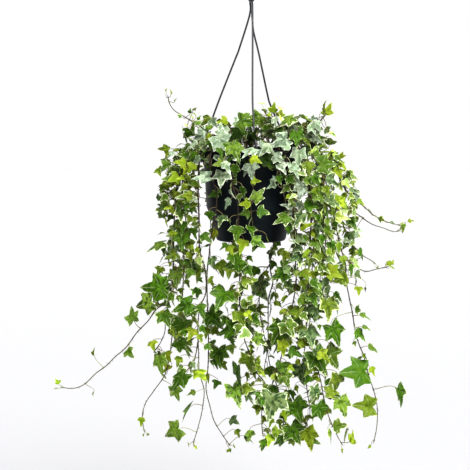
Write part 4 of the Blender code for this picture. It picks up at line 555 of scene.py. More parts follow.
def tube(points, radii, sides):
    """A closed tube round a line of points: its corners and its faces, the quads in halves."""
    rings = tube_rings(np.asarray(points, float), radii, sides)
    *quads, foot, head = grid_faces(len(rings), sides)
    halves = [half for a, b, c, d in quads for half in ((a, b, c), (a, c, d))]
    return rings.reshape(-1, 3), halves + [foot, head]


def leaf_turn(heading, turn, x, draw):
    """The normal and the tip direction of a leaf from the way the front view shows it."""
    angle = math.radians(heading)
    tip = np.array([math.cos(angle), 0.0, math.sin(angle)])
    if turn in "st":
        square = np.array([-tip[2], 0.0, tip[0]])
        if square[2] < 0 or (abs(square[2]) < 0.2 and square[0] * x < 0):
            square = -square
        open_angle = math.radians(TURN_ANGLES[turn] + draw.uniform(-6, 8))
        normal = square * math.cos(open_angle) - np.array([0, math.sin(open_angle), 0])
    else:
        lift = math.radians(TURN_ANGLES[turn] + draw.uniform(-9, 9))
        yaw = math.radians(max(-22, min(22, 0.16 * x)) + draw.uniform(-14, 14))
        normal = np.array([math.sin(yaw) * math.cos(lift), -math.cos(yaw) * math.cos(lift),
                           math.sin(lift)])
    tip[1] = -(tip[0] * normal[0] + tip[2] * normal[2]) / normal[1]
    return unit(normal), unit(tip)


def gathered(leaves, *keys):
    """What the leaves have under each key, as arrays with a row for each leaf."""
    return [np.array([leaf[key] for leaf in leaves]) for key in keys]


def leaf_outline(size):
    """The half outline that a leaf of this length has."""
    if size >= LARGE_LEAF:
        return FIVE_LOBES
    return THREE_LOBES if size >= SMALL_LEAF else ONE_LOBE


def leaf_body(leaf, grow=0.0):
    """A leaf that is open only at its stalk's foot: its corners, triangles, and blade triangles.

    The blade fans out above from its heart and below from the keel at its stalk, over a lobed
    outline that arches down. The stalk is a three-sided bar from the notch back to the stem,
    and its foot's three corners come last. grow thickens the leaf, mm.
    """
    tip, normal, size, notch = leaf["tip"], leaf["normal"], leaf["size"], leaf["notch"]
    side = np.cross(tip, normal)
    half = leaf_outline(size)
    spread = size * leaf["width"]
    stalk_half = STALK_HALF + grow
    flat = ([(-a * spread, b * size) for a, b in half]
            + [(-stalk_half, -NOTCH_BACK * size), (stalk_half, -NOTCH_BACK * size)]
            + [(a * spread, b * size) for a, b in half[:0:-1]])
    flat = np.array(flat)
    if grow:
        flat += grow * 1.5 * flat / np.maximum(1e-6, np.linalg.norm(flat, axis=1))[:, None]
    arch = ARCH_ACROSS * flat[:, 0] ** 2 + ARCH_ALONG * flat[:, 1] ** 2
    arch = -leaf["arch"] * arch / size
    rim = (notch + np.outer(flat[:, 0], side) + np.outer(flat[:, 1], tip)
           + np.outer(arch, normal))
    heart = notch + HEART * size * tip + (0.5 * BLADE_THICK + grow) * normal
    start = notch - NOTCH_BACK * size * tip
    keel = start - (STALK_DEEP + grow) * normal
    corners = [*rim, heart, keel]
    count, left, right = len(rim), len(half), len(half) + 1
    top, under = count, count + 1
    blade = [(top, a, (a + 1) % count) for a in range(count)]
    blade += [(under, (a + 1) % count, a) for a in range(count) if a != left]
    faces = []
    loop, head = (left, right, under), -tip
    section = np.array([rim[left], rim[right], keel]) - start
    points = [start, *leaf["stalk"]]
    for index in range(1, len(points)):
        last = index + 1 == len(points)
        along = unit(points[index] - points[index - 1])
        if last:
            along = -leaf["facet"]
        else:
            along = unit(along + unit(points[index + 1] - points[index]))
        section = turned(section, head, along)
        if last:
            section = section - section.mean(axis=0)
            section *= (FOOT_RADIUS + grow) / np.linalg.norm(section, axis=1)[:, None]
        head = along
        fresh = (len(corners), len(corners) + 1, len(corners) + 2)
        corners += [points[index] + corner for corner in section]
        for a, b in ((1, 0), (0, 2), (2, 1)):
            faces += [(loop[a], loop[b], fresh[b]), (loop[a], fresh[b], fresh[a])]
        loop = fresh
    return np.array(corners), blade + faces, blade


class Stem:
    """A solid's three-sided stem, with the places on its facets where stalks may spring."""

    def __init__(self, line, radii, foot=None):
        self.line, self.radii = line, radii
        self.rings = tube_rings(line, radii, 3)
        if foot is not None:
            self.rings[0] = foot
        self.find_sites()

    def find_sites(self):
        """Every place where a stalk may spring, on each facet a few millimetres apart."""
        spots, facets, keys = [], [], []
        for ring in range(len(self.line) - 1):
            length = float(np.linalg.norm(self.line[ring + 1] - self.line[ring]))
            count = int((length - 2 * END_SPACE) // SITE_STEP)
            for side in range(3):
                a, b = self.rings[ring][side], self.rings[ring][(side + 1) % 3]
                c, d = self.rings[ring + 1][(side + 1) % 3], self.rings[ring + 1][side]
                facet = unit(np.cross(c - a, d - b))
                for step in range(count + 1):
                    share = (END_SPACE + SITE_STEP * step) / length
                    spot = ((a + b) * (1 - share) + (c + d) * share) / 2
                    buried = (HOLE_FLOOR_Z < spot[2] < SOIL_TOP_Z + 6
                              and math.hypot(spot[0], spot[1]) < SOIL_RADIUS)
                    if not buried:
                        spots.append(spot)
                        facets.append(facet)
                        keys.append((ring, side, share * length))
        self.spots, self.facets = np.array(spots), np.array(facets)
        self.keys, self.free = keys, np.ones(len(keys), bool)

    def suit(self, notch, tip, reach):
        """The free site that suits a leaf best: its cost and its number."""
        # a site costs the millimetres that its stalk is off reach, and more where the tip doesn't
        # point away from the stem or the facet doesn't face the notch
        away = notch - self.spots
        length = np.linalg.norm(away, axis=1)
        facing = (away * self.facets).sum(axis=1) / np.maximum(length, 1e-6)
        against = away @ tip / np.maximum(length, 1e-6)
        cost = (np.abs(length - reach) + 14 * np.maximum(0, 0.3 - against)
                + 12 * np.maximum(0, 0.6 - facing) + np.where(facing < 0.25, NO_PLACE, 0))
        cost = np.where(self.free, cost, NO_PLACE)
        best = int(cost.argmin())
        return float(cost[best]), best

    def take_site(self, number):
        """Take a site for a foot, and close the sites beside it."""
        ring, side, along = self.keys[number]
        for other, (its_ring, its_side, its_along) in enumerate(self.keys):
            if (its_ring, its_side) == (ring, side) and abs(its_along - along) < FOOT_SPACE:
                self.free[other] = False


class Spray:
    """One leafy stem with its branches and leaves."""

    def __init__(self, name, lines, routes):
        self.name, self.routes = name, routes
        self.stems = [Stem(lines[0], np.linspace(STEM_RADIUS, TIP_RADIUS, len(lines[0])))]
        self.leaves = []
        for line in lines[1:]:
            main = self.stems[0]
            away = np.linalg.norm(main.spots - line[0], axis=1)
            ahead = unit(line[2] - line[0])
            cost = away + 8 * np.maximum(0, 0.5 - main.facets @ ahead)
            site = int(np.where(main.free, cost, NO_PLACE).argmin())
            main.take_site(site)
            facet = main.facets[site]
            line = np.vstack([main.spots[site], line[1:]])
            radii = np.linspace(0.5 * (STEM_RADIUS + TIP_RADIUS), TIP_RADIUS, len(line))
            ring = tube_rings(line, radii, 3)[0] - line[0]
            foot = turned(ring, unit(line[1] - line[0]), facet)
            foot *= 1.15 * FOOT_RADIUS / np.linalg.norm(foot, axis=1)[:, None]
            self.stems.append(Stem(line, radii, main.spots[site] + foot))


def grow_sprays():
    """Every spray with its bare stems, by name."""
    sprays = {}
    for number, (name, ((foot_x, foot_y), routes)) in enumerate(SPRAYS.items()):
        first = [seen_at(*point) for point in routes[0]]
        # the stems that hang over the rim rise to three heights in turn
        rise = RIM_TOP + 10 + 5 * (number % 3)
        outward = first[0] - (foot_x, foot_y, first[0][2])
        start = [np.array([foot_x, foot_y, SOIL_TOP_Z + 4])]
        if first[0][2] < RIM_TOP + 12:
            inner, outer = math.hypot(foot_x, foot_y), math.hypot(first[0][0], first[0][1])
            share = min(0.62, max(0.3, (CREST_RADIUS - inner) / (outer - inner)))
            crest = np.array([foot_x, foot_y, 0]) + share * outward
            start.append(np.array([crest[0], crest[1], rise]))
        lines = [start + first]
        lines += [[seen_at(*point) for point in route] for route in routes[1:]]
        foot = (foot_x, foot_y, HOLE_FLOOR_Z + GAP)
        finer = [np.vstack([foot, *lines[0]]), *lines[1:]]
        lines = [thinned(smooth_route(line, CURVE_STEP), CURVE_SLACK) for line in lines]
        lines[0] = np.vstack([foot, lines[0]])
        sprays[name] = Spray(name, lines, finer)
    return sprays


def ring_spot(radius, angle):
    """Where a strand meets a ring round Z, in the hub or at the rim: x and y in mm."""
    turn = math.radians(angle)
    return radius * math.sin(turn), -radius * math.cos(turn)


def strand_points(angle, route):
    """The line of a strand, mm: from the hub's socket down to the rim, and its barb below."""
    top_x, top_y = ring_spot(SOCKET_RING, angle)
    clip_x, clip_y = ring_spot(CLIP_RING, angle)
    line = [(top_x, top_y, HUB_BOTTOM + SOCKET_DEPTH - GAP), (top_x, top_y, HUB_BOTTOM - 1)]
    for x, z in route:
        down = (z - HUB_BOTTOM) / (RIM_TOP - HUB_BOTTOM)
        line.append(seen_at(x, z, top_y + (clip_y - top_y) * down))
    line += [(clip_x, clip_y, z) for z in (RIM_TOP + 3, RIM_TOP - 1)]
    under = RIM_UNDER - GAP
    barb = [(clip_x, clip_y, z) for z in (under, under - 0.4, under - 2.5, under - 5)]
    return line, barb


def strand_body(angle, route):
    """The solid's strand: a tapered bar from the hub's socket to the barb under the rim, mm."""
    line, (under, wide, _, end) = strand_points(angle, route)
    radii = [STRAND_TOP_RADIUS] * 2 + [STRAND_RADIUS] * (len(line) - 1) + [BARB_RADIUS, 0.8]
    return tube(line + [under, wide, end], radii, 6)


class Garden:
    """What has been placed so far, for finding a free place for the next leaf."""

    def __init__(self, sprays):
        self.things = []
        self.low, self.high = np.empty((MOST_THINGS, 3)), np.empty((MOST_THINGS, 3))
        self.add("pot", turned_body(POT_KEEP_OUT, POT_SIDES)[0],
                 grid_faces(len(POT_KEEP_OUT), POT_SIDES), "pot")
        for name, (angle, route) in STRANDS.items():
            self.add(name, *strand_body(angle, route), "strand")
        for name, spray in sprays.items():
            for stem in spray.stems:
                self.add(name, *tube(stem.line, stem.radii + 0.4, 4), "stem")

    def add(self, owner, corners, faces, kind):
        """Note a body with its owner's name and its kind: pot, strand, stem or leaf."""
        self.low[len(self.things)] = corners.min(axis=0)
        self.high[len(self.things)] = corners.max(axis=0)
        self.things.append((owner, kind, BVHTree.FromPolygons(corners.tolist(), faces)))

    def blocked(self, owner, corners, faces, blade):
        """Whether a leaf meets anything else, or its blade its own stem."""
        count = len(self.things)
        near = ((corners.min(axis=0) <= self.high[:count])
                & (self.low[:count] <= corners.max(axis=0))).all(axis=1)
        corners = corners.tolist()
        whole_tree = BVHTree.FromPolygons(corners, faces)
        blade_tree = BVHTree.FromPolygons(corners, blade)
        for index in np.flatnonzero(near):
            other, kind, tree = self.things[index]
            mine = blade_tree if other == owner and kind == "stem" else whole_tree
            if mine.overlap(tree):
                return True
        return False


def in_the_pot(corners):
    """Whether any corner lies in the pot, in its rim or in the soil."""
    z = corners[:, 2]
    radii, heights = np.transpose(POT_KEEP_OUT)
    keep = np.interp(z, heights, radii)
    reach = np.hypot(corners[:, 0], corners[:, 1])
    return bool(((z > heights[0]) & (z < heights[-1]) & (reach < keep)).any())


def front_spray(sprays, x, z, heading):
    """The spray whose stem passes nearest behind a leaf's notch in the front view."""
    angle = math.radians(heading)
    ahead = np.array([math.cos(angle), math.sin(angle)])
    notch = np.array([x, z]) - 4 * ahead
    best, choice = 1e9, None
    for name, spray in sprays.items():
        if name.startswith("back"):
            continue
        for stem in spray.stems:
            away = notch - seen_from(stem.spots)
            # millimetres off in the view, a tenth of the depth, and 6 where the stem lies ahead
            cost = (np.linalg.norm(away, axis=1) + 0.1 * stem.spots[:, 1]
                    + np.where(away @ ahead < 0, 6, 0))
            spot = int(cost.argmin())
            if cost[spot] < best:
                best, choice = float(cost[spot]), (name, stem.spots[spot][1])
    return choice


def hang_leaf(garden, spray, leaf, reach, longest=math.inf):
    """Hang a leaf on the stem site that suits it, unless something is in the way."""
    notch, tip, normal, size = leaf["notch"], leaf["tip"], leaf["normal"], leaf["size"]
    offers = [(*stem.suit(notch, tip, reach), stem) for stem in spray.stems]
    cost, site, stem = min(offers, key=lambda offer: offer[0])
    if cost >= NO_PLACE:
        return False
    spot = stem.spots[site]
    leaf["facet"] = stem.facets[site]
    start = notch - NOTCH_BACK * size * tip
    away = spot - start
    length = float(np.linalg.norm(away))
    if not 4 <= length <= longest:
        return False
    leaf["stalk"] = [spot]
    if float(away @ -tip) < 0.1 * length:
        leaf["stalk"] = [start - tip * min(0.4 * length, 7.0) - normal * 2.0, spot]
    corners, faces, blade = leaf_body(leaf, LEAF_ROOM)
    if in_the_pot(corners) or garden.blocked(spray.name, corners, faces, blade):
        return False
    garden.add(spray.name, *leaf_body(leaf)[:2], "leaf")
    stem.take_site(site)
    spray.leaves.append(leaf)
    return True


def hang_seen(garden, sprays, row, draw, longest=math.inf, shifts=SHIFTS):
    """Hang one leaf of the front view, and give it, or None where every place is blocked."""
    x, z, size, heading, look = row
    name, depth = front_spray(sprays, x, z, heading)
    width, arch = draw.uniform(*LEAF_WIDTH), draw.uniform(*LEAF_ARCH)
    tries = [(leaf_turn(heading + draw.uniform(-8, 8) * k, look[0], x, draw),
              draw.uniform(-1.5, 1.5) * k, draw.uniform(-1.5, 1.5) * k) for k in range(4)]
    lean = -LEAN if depth < 30 else draw.choice((-LEAN, LEAN))
    for shift in shifts:
        for (normal, tip), right, up in tries:
            notch = seen_at(x + right, z + up, depth + lean + shift) - BLADE_MIDDLE * size * tip
            leaf = {"notch": notch, "tip": tip, "normal": normal, "size": size,
                    "width": width, "arch": arch, "tone": look[1]}
            if hang_leaf(garden, sprays[name], leaf, SHORTEST_STALK + 0.2 * size, longest):
                return leaf
    return None


class Veil:
    """Which places of the front view are covered, and how near to the viewer, on a grid."""

    LEFT, LOW, CELL, WIDE, HIGH = -320.0, -740.0, 2.0, 300, 280

    def __init__(self):
        rows, columns = np.mgrid[0:self.HIGH, 0:self.WIDE]
        self.x = self.LEFT + (columns + 0.5) * self.CELL
        self.z = self.LOW + (rows + 0.5) * self.CELL
        radii, heights = np.transpose(POT_KEEP_OUT)
        pot = np.abs(self.x) < np.interp(self.z, heights, radii, left=0, right=0)
        self.depth = np.where(pot, -POT_FOOT, 1e6)

    def cover(self, corners, faces):
        """Cover the cells inside each triangle with the body's mean depth."""
        seen = seen_from(corners)
        depth = float(corners[:, 1].mean())
        low = ((seen.min(axis=0) - (self.LEFT, self.LOW)) / self.CELL).astype(int)
        high = ((seen.max(axis=0) - (self.LEFT, self.LOW)) / self.CELL).astype(int) + 1
        window = (slice(max(low[1], 0), high[1] + 1), slice(max(low[0], 0), high[0] + 1))
        x, z = self.x[window], self.z[window]
        inside = np.zeros(x.shape, bool)
        for face in faces:
            a, b, c = seen[list(face)]
            sign = np.array([(q[0] - p[0]) * (z - p[1]) - (q[1] - p[1]) * (x - p[0])
                             for p, q in ((a, b), (b, c), (c, a))])
            inside |= (sign >= 0).all(axis=0) | (sign <= 0).all(axis=0)
        self.depth[window] = np.where(inside, np.minimum(self.depth[window], depth),
                                      self.depth[window])

    def hides(self, corners):
        """The share of the corners that lie behind what covers them."""
        cells = ((seen_from(corners) - (self.LEFT, self.LOW)) / self.CELL).astype(int)
        columns, rows = np.clip(cells, 0, (self.WIDE - 1, self.HIGH - 1)).T
        return float((self.depth[rows, columns] < corners[:, 1] - 1).mean())


def side_leaf(spot, draw, sizes=FILL_SIZE):
    """A leaf for the sides and the back: facing out and up, near a place on a stem."""
    away = math.atan2(spot[1] + 8, spot[0])
    angle = away + math.radians(draw.uniform(-80, 80))
    if spot[2] < BASE_Z - 25:
        angle = math.radians(draw.uniform(20, 160))
    out = np.array([math.cos(angle), math.sin(angle), 0.0])
    above = spot[2] > RIM_TOP and math.hypot(spot[0], spot[1]) < RIM_RADIUS
    lift = math.radians(draw.uniform(45, 80) if above else draw.uniform(10, 48))
    normal = unit(out * math.cos(lift) + np.array([0, 0, math.sin(lift)]))
    level = np.cross((0, 0, 1.0), out)
    steep = unit(np.cross(normal, level))
    roll = math.radians(draw.uniform(-50, 50))
    tip = unit(level * math.sin(roll) - steep * math.cos(roll) * np.sign(steep[2]))
    return {"notch": spot + out * draw.uniform(9, 20) + np.array([0, 0, draw.uniform(-8, 4)]),
            "tip": tip, "normal": normal, "size": draw.uniform(*sizes),
            "width": draw.uniform(*LEAF_WIDTH), "arch": draw.uniform(*LEAF_ARCH),
            "tone": draw.choice("ssgggddtol")}


def hang_hidden(garden, veil, sprays, draw, step=FILL_STEP, sizes=FILL_SIZE):
    """Hang leaves at the sides and the back, wherever the front view doesn't show them."""
    for name, spray in sprays.items():
        stride = step if name.startswith(("back", "mound")) else 3 * step
        for stem in spray.stems:
            for spot in stem.spots[::stride]:
                for _ in range(FILL_TRIES):
                    leaf = side_leaf(spot, draw, sizes)
                    leaf["stalk"], leaf["facet"] = [spot], leaf["tip"]
                    hidden = veil.hides(leaf_body(leaf)[0]) > HIDDEN_SHARE
                    if hidden and hang_leaf(garden, spray, leaf, SHORTEST_STALK + 5):
                        break


def hang_over_soil(garden, sprays, draw):
    """Hang leaves over the soil, on whichever stems pass there."""
    places = [(spray, spot) for spray in sprays.values() for stem in spray.stems
              for spot in stem.spots
              if spot[2] > RIM_TOP - 6 and math.hypot(spot[0], spot[1]) < SOIL_RADIUS - 6]
    for spray, spot in draw.sample(places, SOIL_LEAVES):
        for _ in range(FILL_TRIES):
            if hang_leaf(garden, spray, side_leaf(spot, draw), SHORTEST_STALK + 5):
                break


def crowd_rows(crowds, draw, even):
    """Rows like those of LEAVES, drawn at random for crowded places, at even heights or not."""
    rows = []
    for count, (left, right), (low, high), sizes, headings, turns, tones in crowds:
        for index in range(count):
            z = high - (high - low) * (index + (0.5 if even else draw.random())) / count
            rows.append((draw.uniform(left, right), z, draw.uniform(*sizes),
                         draw.uniform(*headings), draw.choice(turns) + draw.choice(tones)))
    return rows


def hang_leaves(sprays):
    """Hang every leaf on the sprays."""
    garden, veil = Garden(sprays), Veil()
    draw = random.Random(CROWD_SEED)
    for row in sorted(LEAVES, key=lambda row: -row[2]) + crowd_rows(CROWDS, draw, even=True):
        leaf = hang_seen(garden, sprays, row, draw)
        if leaf:
            corners, _, blade = leaf_body(leaf)
            veil.cover(corners, blade)
    draw = random.Random(FILL_SEED)
    hang_over_soil(garden, sprays, draw)
    hang_hidden(garden, veil, sprays, draw)
    return garden, veil


def linear(colour):
    """An sRGB hex colour as three linear channels."""
    channels = np.array([int(colour[i:i + 2], 16) / 255 for i in (0, 2, 4)])
    return tuple(np.where(channels <= 0.04045, channels / 12.92,
                          ((channels + 0.055) / 1.055) ** 2.4))


class Bundle:
    """Corners, faces and what each corner carries, gathered from many copies for one piece."""

    CARRIED = {"place": 3, "heart": 4, "blotch": 4, "margin": 4}

    def __init__(self):
        self.corners, self.loops, self.sizes, self.finishes = [], [], [], []
        self.carried = {name: [] for name in self.CARRIED}
        self.count = 0

    def add(self, corners, faces, finishes=0, **carried):
        """Add copies of one body: corners is (copies, points, 3), and faces are of one copy."""
        copies, points = corners.shape[:2]
        loops = np.concatenate([np.asarray(face) for face in faces])
        sizes = np.array([len(face) for face in faces])
        starts = self.count + points * np.arange(copies)[:, None]
        self.corners.append(corners.reshape(-1, 3))
        self.loops.append((starts + loops).ravel())
        self.sizes.append(np.tile(sizes, copies))
        self.finishes.append(np.tile(np.broadcast_to(finishes, len(sizes)), copies))
        for name, width in self.CARRIED.items():
            values = np.ones((copies, points, width))
            if name in carried:
                given = np.asarray(carried[name])
                values[..., :given.shape[-1]] = given
            self.carried[name].append(values.reshape(-1, width))
        self.count += copies * points

    def piece(self, name, finishes, sharp, carry=True):
        """The piece, in metres: smooth, with an edge where its faces turn by more than sharp."""
        mesh = bpy.data.meshes.new(name)
        corners, loops, sizes = (np.concatenate(part) for part in
                                 (self.corners, self.loops, self.sizes))
        mesh.vertices.add(len(corners))
        mesh.vertices.foreach_set("co", (corners * MM).astype(np.float32).ravel())
        mesh.loops.add(len(loops))
        mesh.loops.foreach_set("vertex_index", loops.astype(np.int32))
        mesh.polygons.add(len(sizes))
        mesh.polygons.foreach_set("loop_start", (np.cumsum(sizes) - sizes).astype(np.int32))
        mesh.polygons.foreach_set("material_index",
                                  np.concatenate(self.finishes).astype(np.int32))
        mesh.update(calc_edges=True)
        if carry:
            for label, width in self.CARRIED.items():
                kind, field = ("FLOAT_COLOR", "color") if width == 4 else ("FLOAT_VECTOR", "vector")
                layer = mesh.attributes.new(label, kind, "POINT")
                values = np.concatenate(self.carried[label]).astype(np.float32)
                layer.data.foreach_set(field, values.ravel())
        for finish in finishes:
            mesh.materials.append(finish)
        mesh.shade_smooth()
        mesh.set_sharp_from_angle(angle=math.radians(sharp))
        piece = bpy.data.objects.new(name, mesh)
        bpy.context.scene.collection.objects.link(piece)
        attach(piece, "root")
        return piece


def grid_faces(rings, sides):
    """Faces of a closed tube of rings: quads between the rings, and a flat face at each end."""
    ring, side = np.mgrid[0:rings - 1, 0:sides]
    a = ring * sides + side
    b = ring * sides + (side + 1) % sides
    quads = np.stack([a, b, b + sides, a + sides], axis=-1).reshape(-1, 4).tolist()
    last = (rings - 1) * sides
    return quads + [list(range(sides))[::-1], list(range(last, last + sides))]


def swept(paths, radii, sides):
    """Tubes along many paths at once: a circle square to the path at each of its points.

    paths is (tubes, points, 3) and radii (tubes, points). A corner is its path's point plus the
    radius times (cosine of its turn times a spoke, plus sine times the spoke square to it). Each
    spoke is the one before made square to the path again, so that a tube doesn't twist.
    """
    ahead = np.gradient(paths, axis=1)
    ahead /= np.linalg.norm(ahead, axis=2, keepdims=True)
    spoke = np.cross(ahead[:, 0], ODD_WAY)
    spokes = np.empty_like(ahead)
    for point in range(paths.shape[1]):
        heading = ahead[:, point]
        spoke = spoke - (spoke * heading).sum(axis=1, keepdims=True) * heading
        spoke /= np.linalg.norm(spoke, axis=1, keepdims=True)
        spokes[:, point] = spoke
    turn = (np.arange(sides) * 2 * math.pi / sides)[:, None]
    across, up = spokes[:, :, None], np.cross(ahead, spokes)[:, :, None]
    rings = paths[:, :, None] + radii[:, :, None, None] * (np.cos(turn) * across
                                                           + np.sin(turn) * up)
    return rings.reshape(len(paths), -1, 3)


def rounded(profile, cut, steps=4):
    """A profile with its corners eased: each gives way to a parabola that starts and ends a
    little way from it, cut or a third of the way to the next corner, whichever is less."""
    profile = np.asarray(profile, float)
    before, corner, after = profile[:-2], profile[1:-1], profile[2:]
    t = np.linspace(0, 1, steps)[None, :, None]
    arms = []
    for other in (before, after):
        arm = other - corner
        length = np.linalg.norm(arm, axis=1, keepdims=True)
        arms.append(corner + arm / length * np.minimum(cut, length / 3))
    start, stop = arms[0][:, None], arms[1][:, None]
    curve = start * (1 - t) ** 2 + 2 * corner[:, None] * t * (1 - t) + stop * t ** 2
    return np.vstack([profile[:1], curve.reshape(-1, 2), profile[-1:]])


def turned_body(profile, sides):
    """Corners of a (radius, height) profile turned round Z, a ring of sides for each point: x is
    the radius times the cosine of the turn, y the radius times its sine, and z the height."""
    turn = np.arange(sides) * 2 * math.pi / sides
    radius, height = np.asarray(profile).T
    rings = np.stack([np.outer(radius, np.cos(turn)), np.outer(radius, np.sin(turn)),
                      np.repeat(height[:, None], sides, axis=1)], axis=-1)
    return rings.reshape(1, -1, 3)


def rough(points, scale, seed, octaves=4):
    """Smooth noise from -1 to 1 at points: waves in random directions, each octave half as long
    and half as high as the one before, and three waves to an octave."""
    draw = np.random.default_rng(seed)
    total = np.zeros(points.shape[:-1])
    for octave in range(octaves):
        for _ in range(3):
            way = draw.normal(size=points.shape[-1])
            way *= 2 * math.pi * 2 ** octave / scale / np.linalg.norm(way)
            total += np.sin(points @ way + draw.uniform(0, 2 * math.pi)) / 2 ** octave
    return total / 6


class LeafForm:
    """A lobed blade on a grid: steps round its outline, and rings from its heart to its edge.

    Between a lobe's tip and a bay the outline's distance from the heart falls by a power of the
    share of the angle, so that the lobes are pointed and the bays round. A ring is the outline
    drawn in towards the heart. The underside has the same rings, and the edge is shared.
    """

    POINTED = 1.6

    def __init__(self, lobes, steps, rings):
        angles, reaches, bays = [], [], []
        for number, (first, second) in enumerate(zip(lobes, lobes[1:])):
            share = np.arange(steps) / steps
            bay = share if number % 2 == 0 else 1 - share
            tip, hollow = (first, second) if number % 2 == 0 else (second, first)
            angles.append(first[0] + (second[0] - first[0]) * share)
            reaches.append(hollow[1] + (tip[1] - hollow[1]) * (1 - bay) ** self.POINTED)
            bays.append(bay)
        angle, reach, bay = (np.concatenate(part) for part in (angles, reaches, bays))
        end = lobes[-1]
        self.angle = np.radians(np.concatenate([angle, [end[0]], 360 - angle[:0:-1]]))
        self.reach = np.concatenate([reach, [end[1]], reach[:0:-1]])
        self.bay = np.concatenate([bay, [1.0], bay[:0:-1]])
        self.rings = np.asarray(rings)
        self.around = len(self.angle)
        self.lay_out()

    def lay_out(self):
        """Where each corner lies across and along the blade, and the faces between them."""
        share = np.concatenate([[0.0], np.repeat(self.rings, self.around)])
        angle = np.concatenate([[0.0], np.tile(self.angle, len(self.rings))])
        reach = np.concatenate([[0.0], np.tile(self.reach, len(self.rings))])
        bay = np.concatenate([[0.5], np.tile(self.bay, len(self.rings))])
        inner = len(share) - self.around
        order = np.concatenate([np.arange(len(share)), np.arange(inner)])
        self.share, self.turn, self.bays = share[order], angle[order], bay[order]
        self.across = (-np.sin(angle) * reach * share)[order]
        self.along = (HEART + np.cos(angle) * reach * share)[order]
        self.thick = np.concatenate([np.ones(len(share)), -np.ones(inner)])
        self.thick *= 1 - self.share ** 3
        tops = [1 + ring * self.around for ring in range(len(self.rings))]
        unders = [low + len(share) for low in tops[:-1]] + tops[-1:]
        self.faces = self.disc(0, tops, 1) + self.disc(len(share), unders, -1)
        self.finishes = np.repeat((BLADE_FACE, BACK_FACE), len(self.faces) // 2)

    def disc(self, heart, rings, way):
        """Faces from a heart out over rings, given by their first corners; way -1 faces down."""
        step = np.arange(self.around)
        ahead = (step + 1) % self.around
        parts = [(heart + 0 * step, rings[0] + step, rings[0] + ahead)]
        parts += [(inner + step, outer + step, outer + ahead, inner + ahead)
                  for inner, outer in zip(rings, rings[1:])]
        return [face[::way] for part in parts for face in np.stack(part, 1).tolist()]

    def corners(self, leaves, deep, draw):
        """The corners of many leaves that are deep at the heart, (leaves, points, 3), mm.

        Height over the flat blade falls with the square of the distance across and along, as the
        solid's does, with a wave round the edge and a little fullness between the veins.
        """
        parts = gathered(leaves, "tip", "normal", "notch", "size", "width", "arch")
        tip, normal, notch, size, width, arch = (part[:, None] for part in parts)
        side = np.cross(tip, normal)
        fold = np.array([min(0.5, max(-0.15, draw.gauss(*LEAF_FOLD))) for _ in leaves])[:, None]
        width = width * np.array([draw.uniform(*LEAF_SLENDER) for _ in leaves])[:, None]
        across, along = -self.across * width, self.along
        wave = np.array([draw.uniform(*LEAF_WAVE) for _ in leaves])[:, None]
        phase = np.array([draw.uniform(0, 2 * math.pi) for _ in leaves])[:, None]
        count = np.array([draw.choice((3, 4, 5)) for _ in leaves])[:, None]
        height = -arch * (ARCH_ACROSS * across ** 2 + ARCH_ALONG * along ** 2)
        height = height + wave * np.sin(count * self.turn + phase) * self.share ** 2
        height = height + 0.05 * self.bays * np.sin(math.pi * self.share) + fold * np.abs(across)
        rise = size * height + 0.5 * deep * self.thick
        return (notch + (size * across)[..., None] * side + (size * along)[..., None] * tip
                + rise[..., None] * normal)


FORMS = ((LeafForm(FIVE_LOBED, 3, (0.36, 0.70, 1.0)), LARGE_LEAF, 99.0),
         (LeafForm(THREE_LOBED, 3, (0.5, 1.0)), SMALL_LEAF, LARGE_LEAF),
         (LeafForm(THREE_LOBED, 2, (0.5, 1.0)), 9.0, SMALL_LEAF),
         (LeafForm(UNLOBED, 2, (0.5, 1.0)), 0.0, 9.0))


def hang_small_leaves(garden, veil, sprays):
    """The scene's own leaves: small ones that thicken the foliage, and young ones at the tips."""
    draw = random.Random(THICKET_SEED)
    for spray in sprays.values():
        for leaf in spray.leaves:
            leaf["swing"] = SOLID_SWING
            # painted shade: some of the mound's silver leaves take a darker tone, k, t or g, standing
            # in for the shade among them
            if leaf["tone"] == "s" and leaf["notch"][2] > MOUND_Z and draw.random() < MOUND_PAINTED_SHADE:
                leaf["tone"] = draw.choice("ktg")
        for stem in spray.stems:
            stem.free[:] = True
    for crowds, shifts in ((CLUSTERS, IN_FRONT), (THICKETS, BEHIND)):
        for row in crowd_rows(crowds, draw, even=False):
            hang_seen(garden, sprays, row, draw, LONGEST_STALK, shifts)
    for spray in sprays.values():
        for stem in spray.stems:
            end, ahead = stem.line[-1], unit(stem.line[-1] - stem.line[-2])
            for _ in range(TIP_TRIES):
                leaf = side_leaf(end, draw)
                leaf["tip"] = unit(ahead + 0.9 * unit(np.array([draw.gauss(0, 1) for _ in "xyz"])))
                leaf["normal"] = unit(np.cross(leaf["tip"], np.cross((0.2, -0.9, 0.4), leaf["tip"])))
                leaf["notch"] = end + 5.0 * leaf["tip"]
                leaf["size"] = draw.uniform(*TIP_SIZE)
                leaf["tone"] = draw.choice("llg")
                hang_leaf(garden, spray, leaf, 5.0, LONGEST_STALK)
    raise_from_soil(garden, sprays, draw)
    hang_hidden(garden, veil, sprays, draw, HIDDEN_STEP, HIDDEN_SIZE)


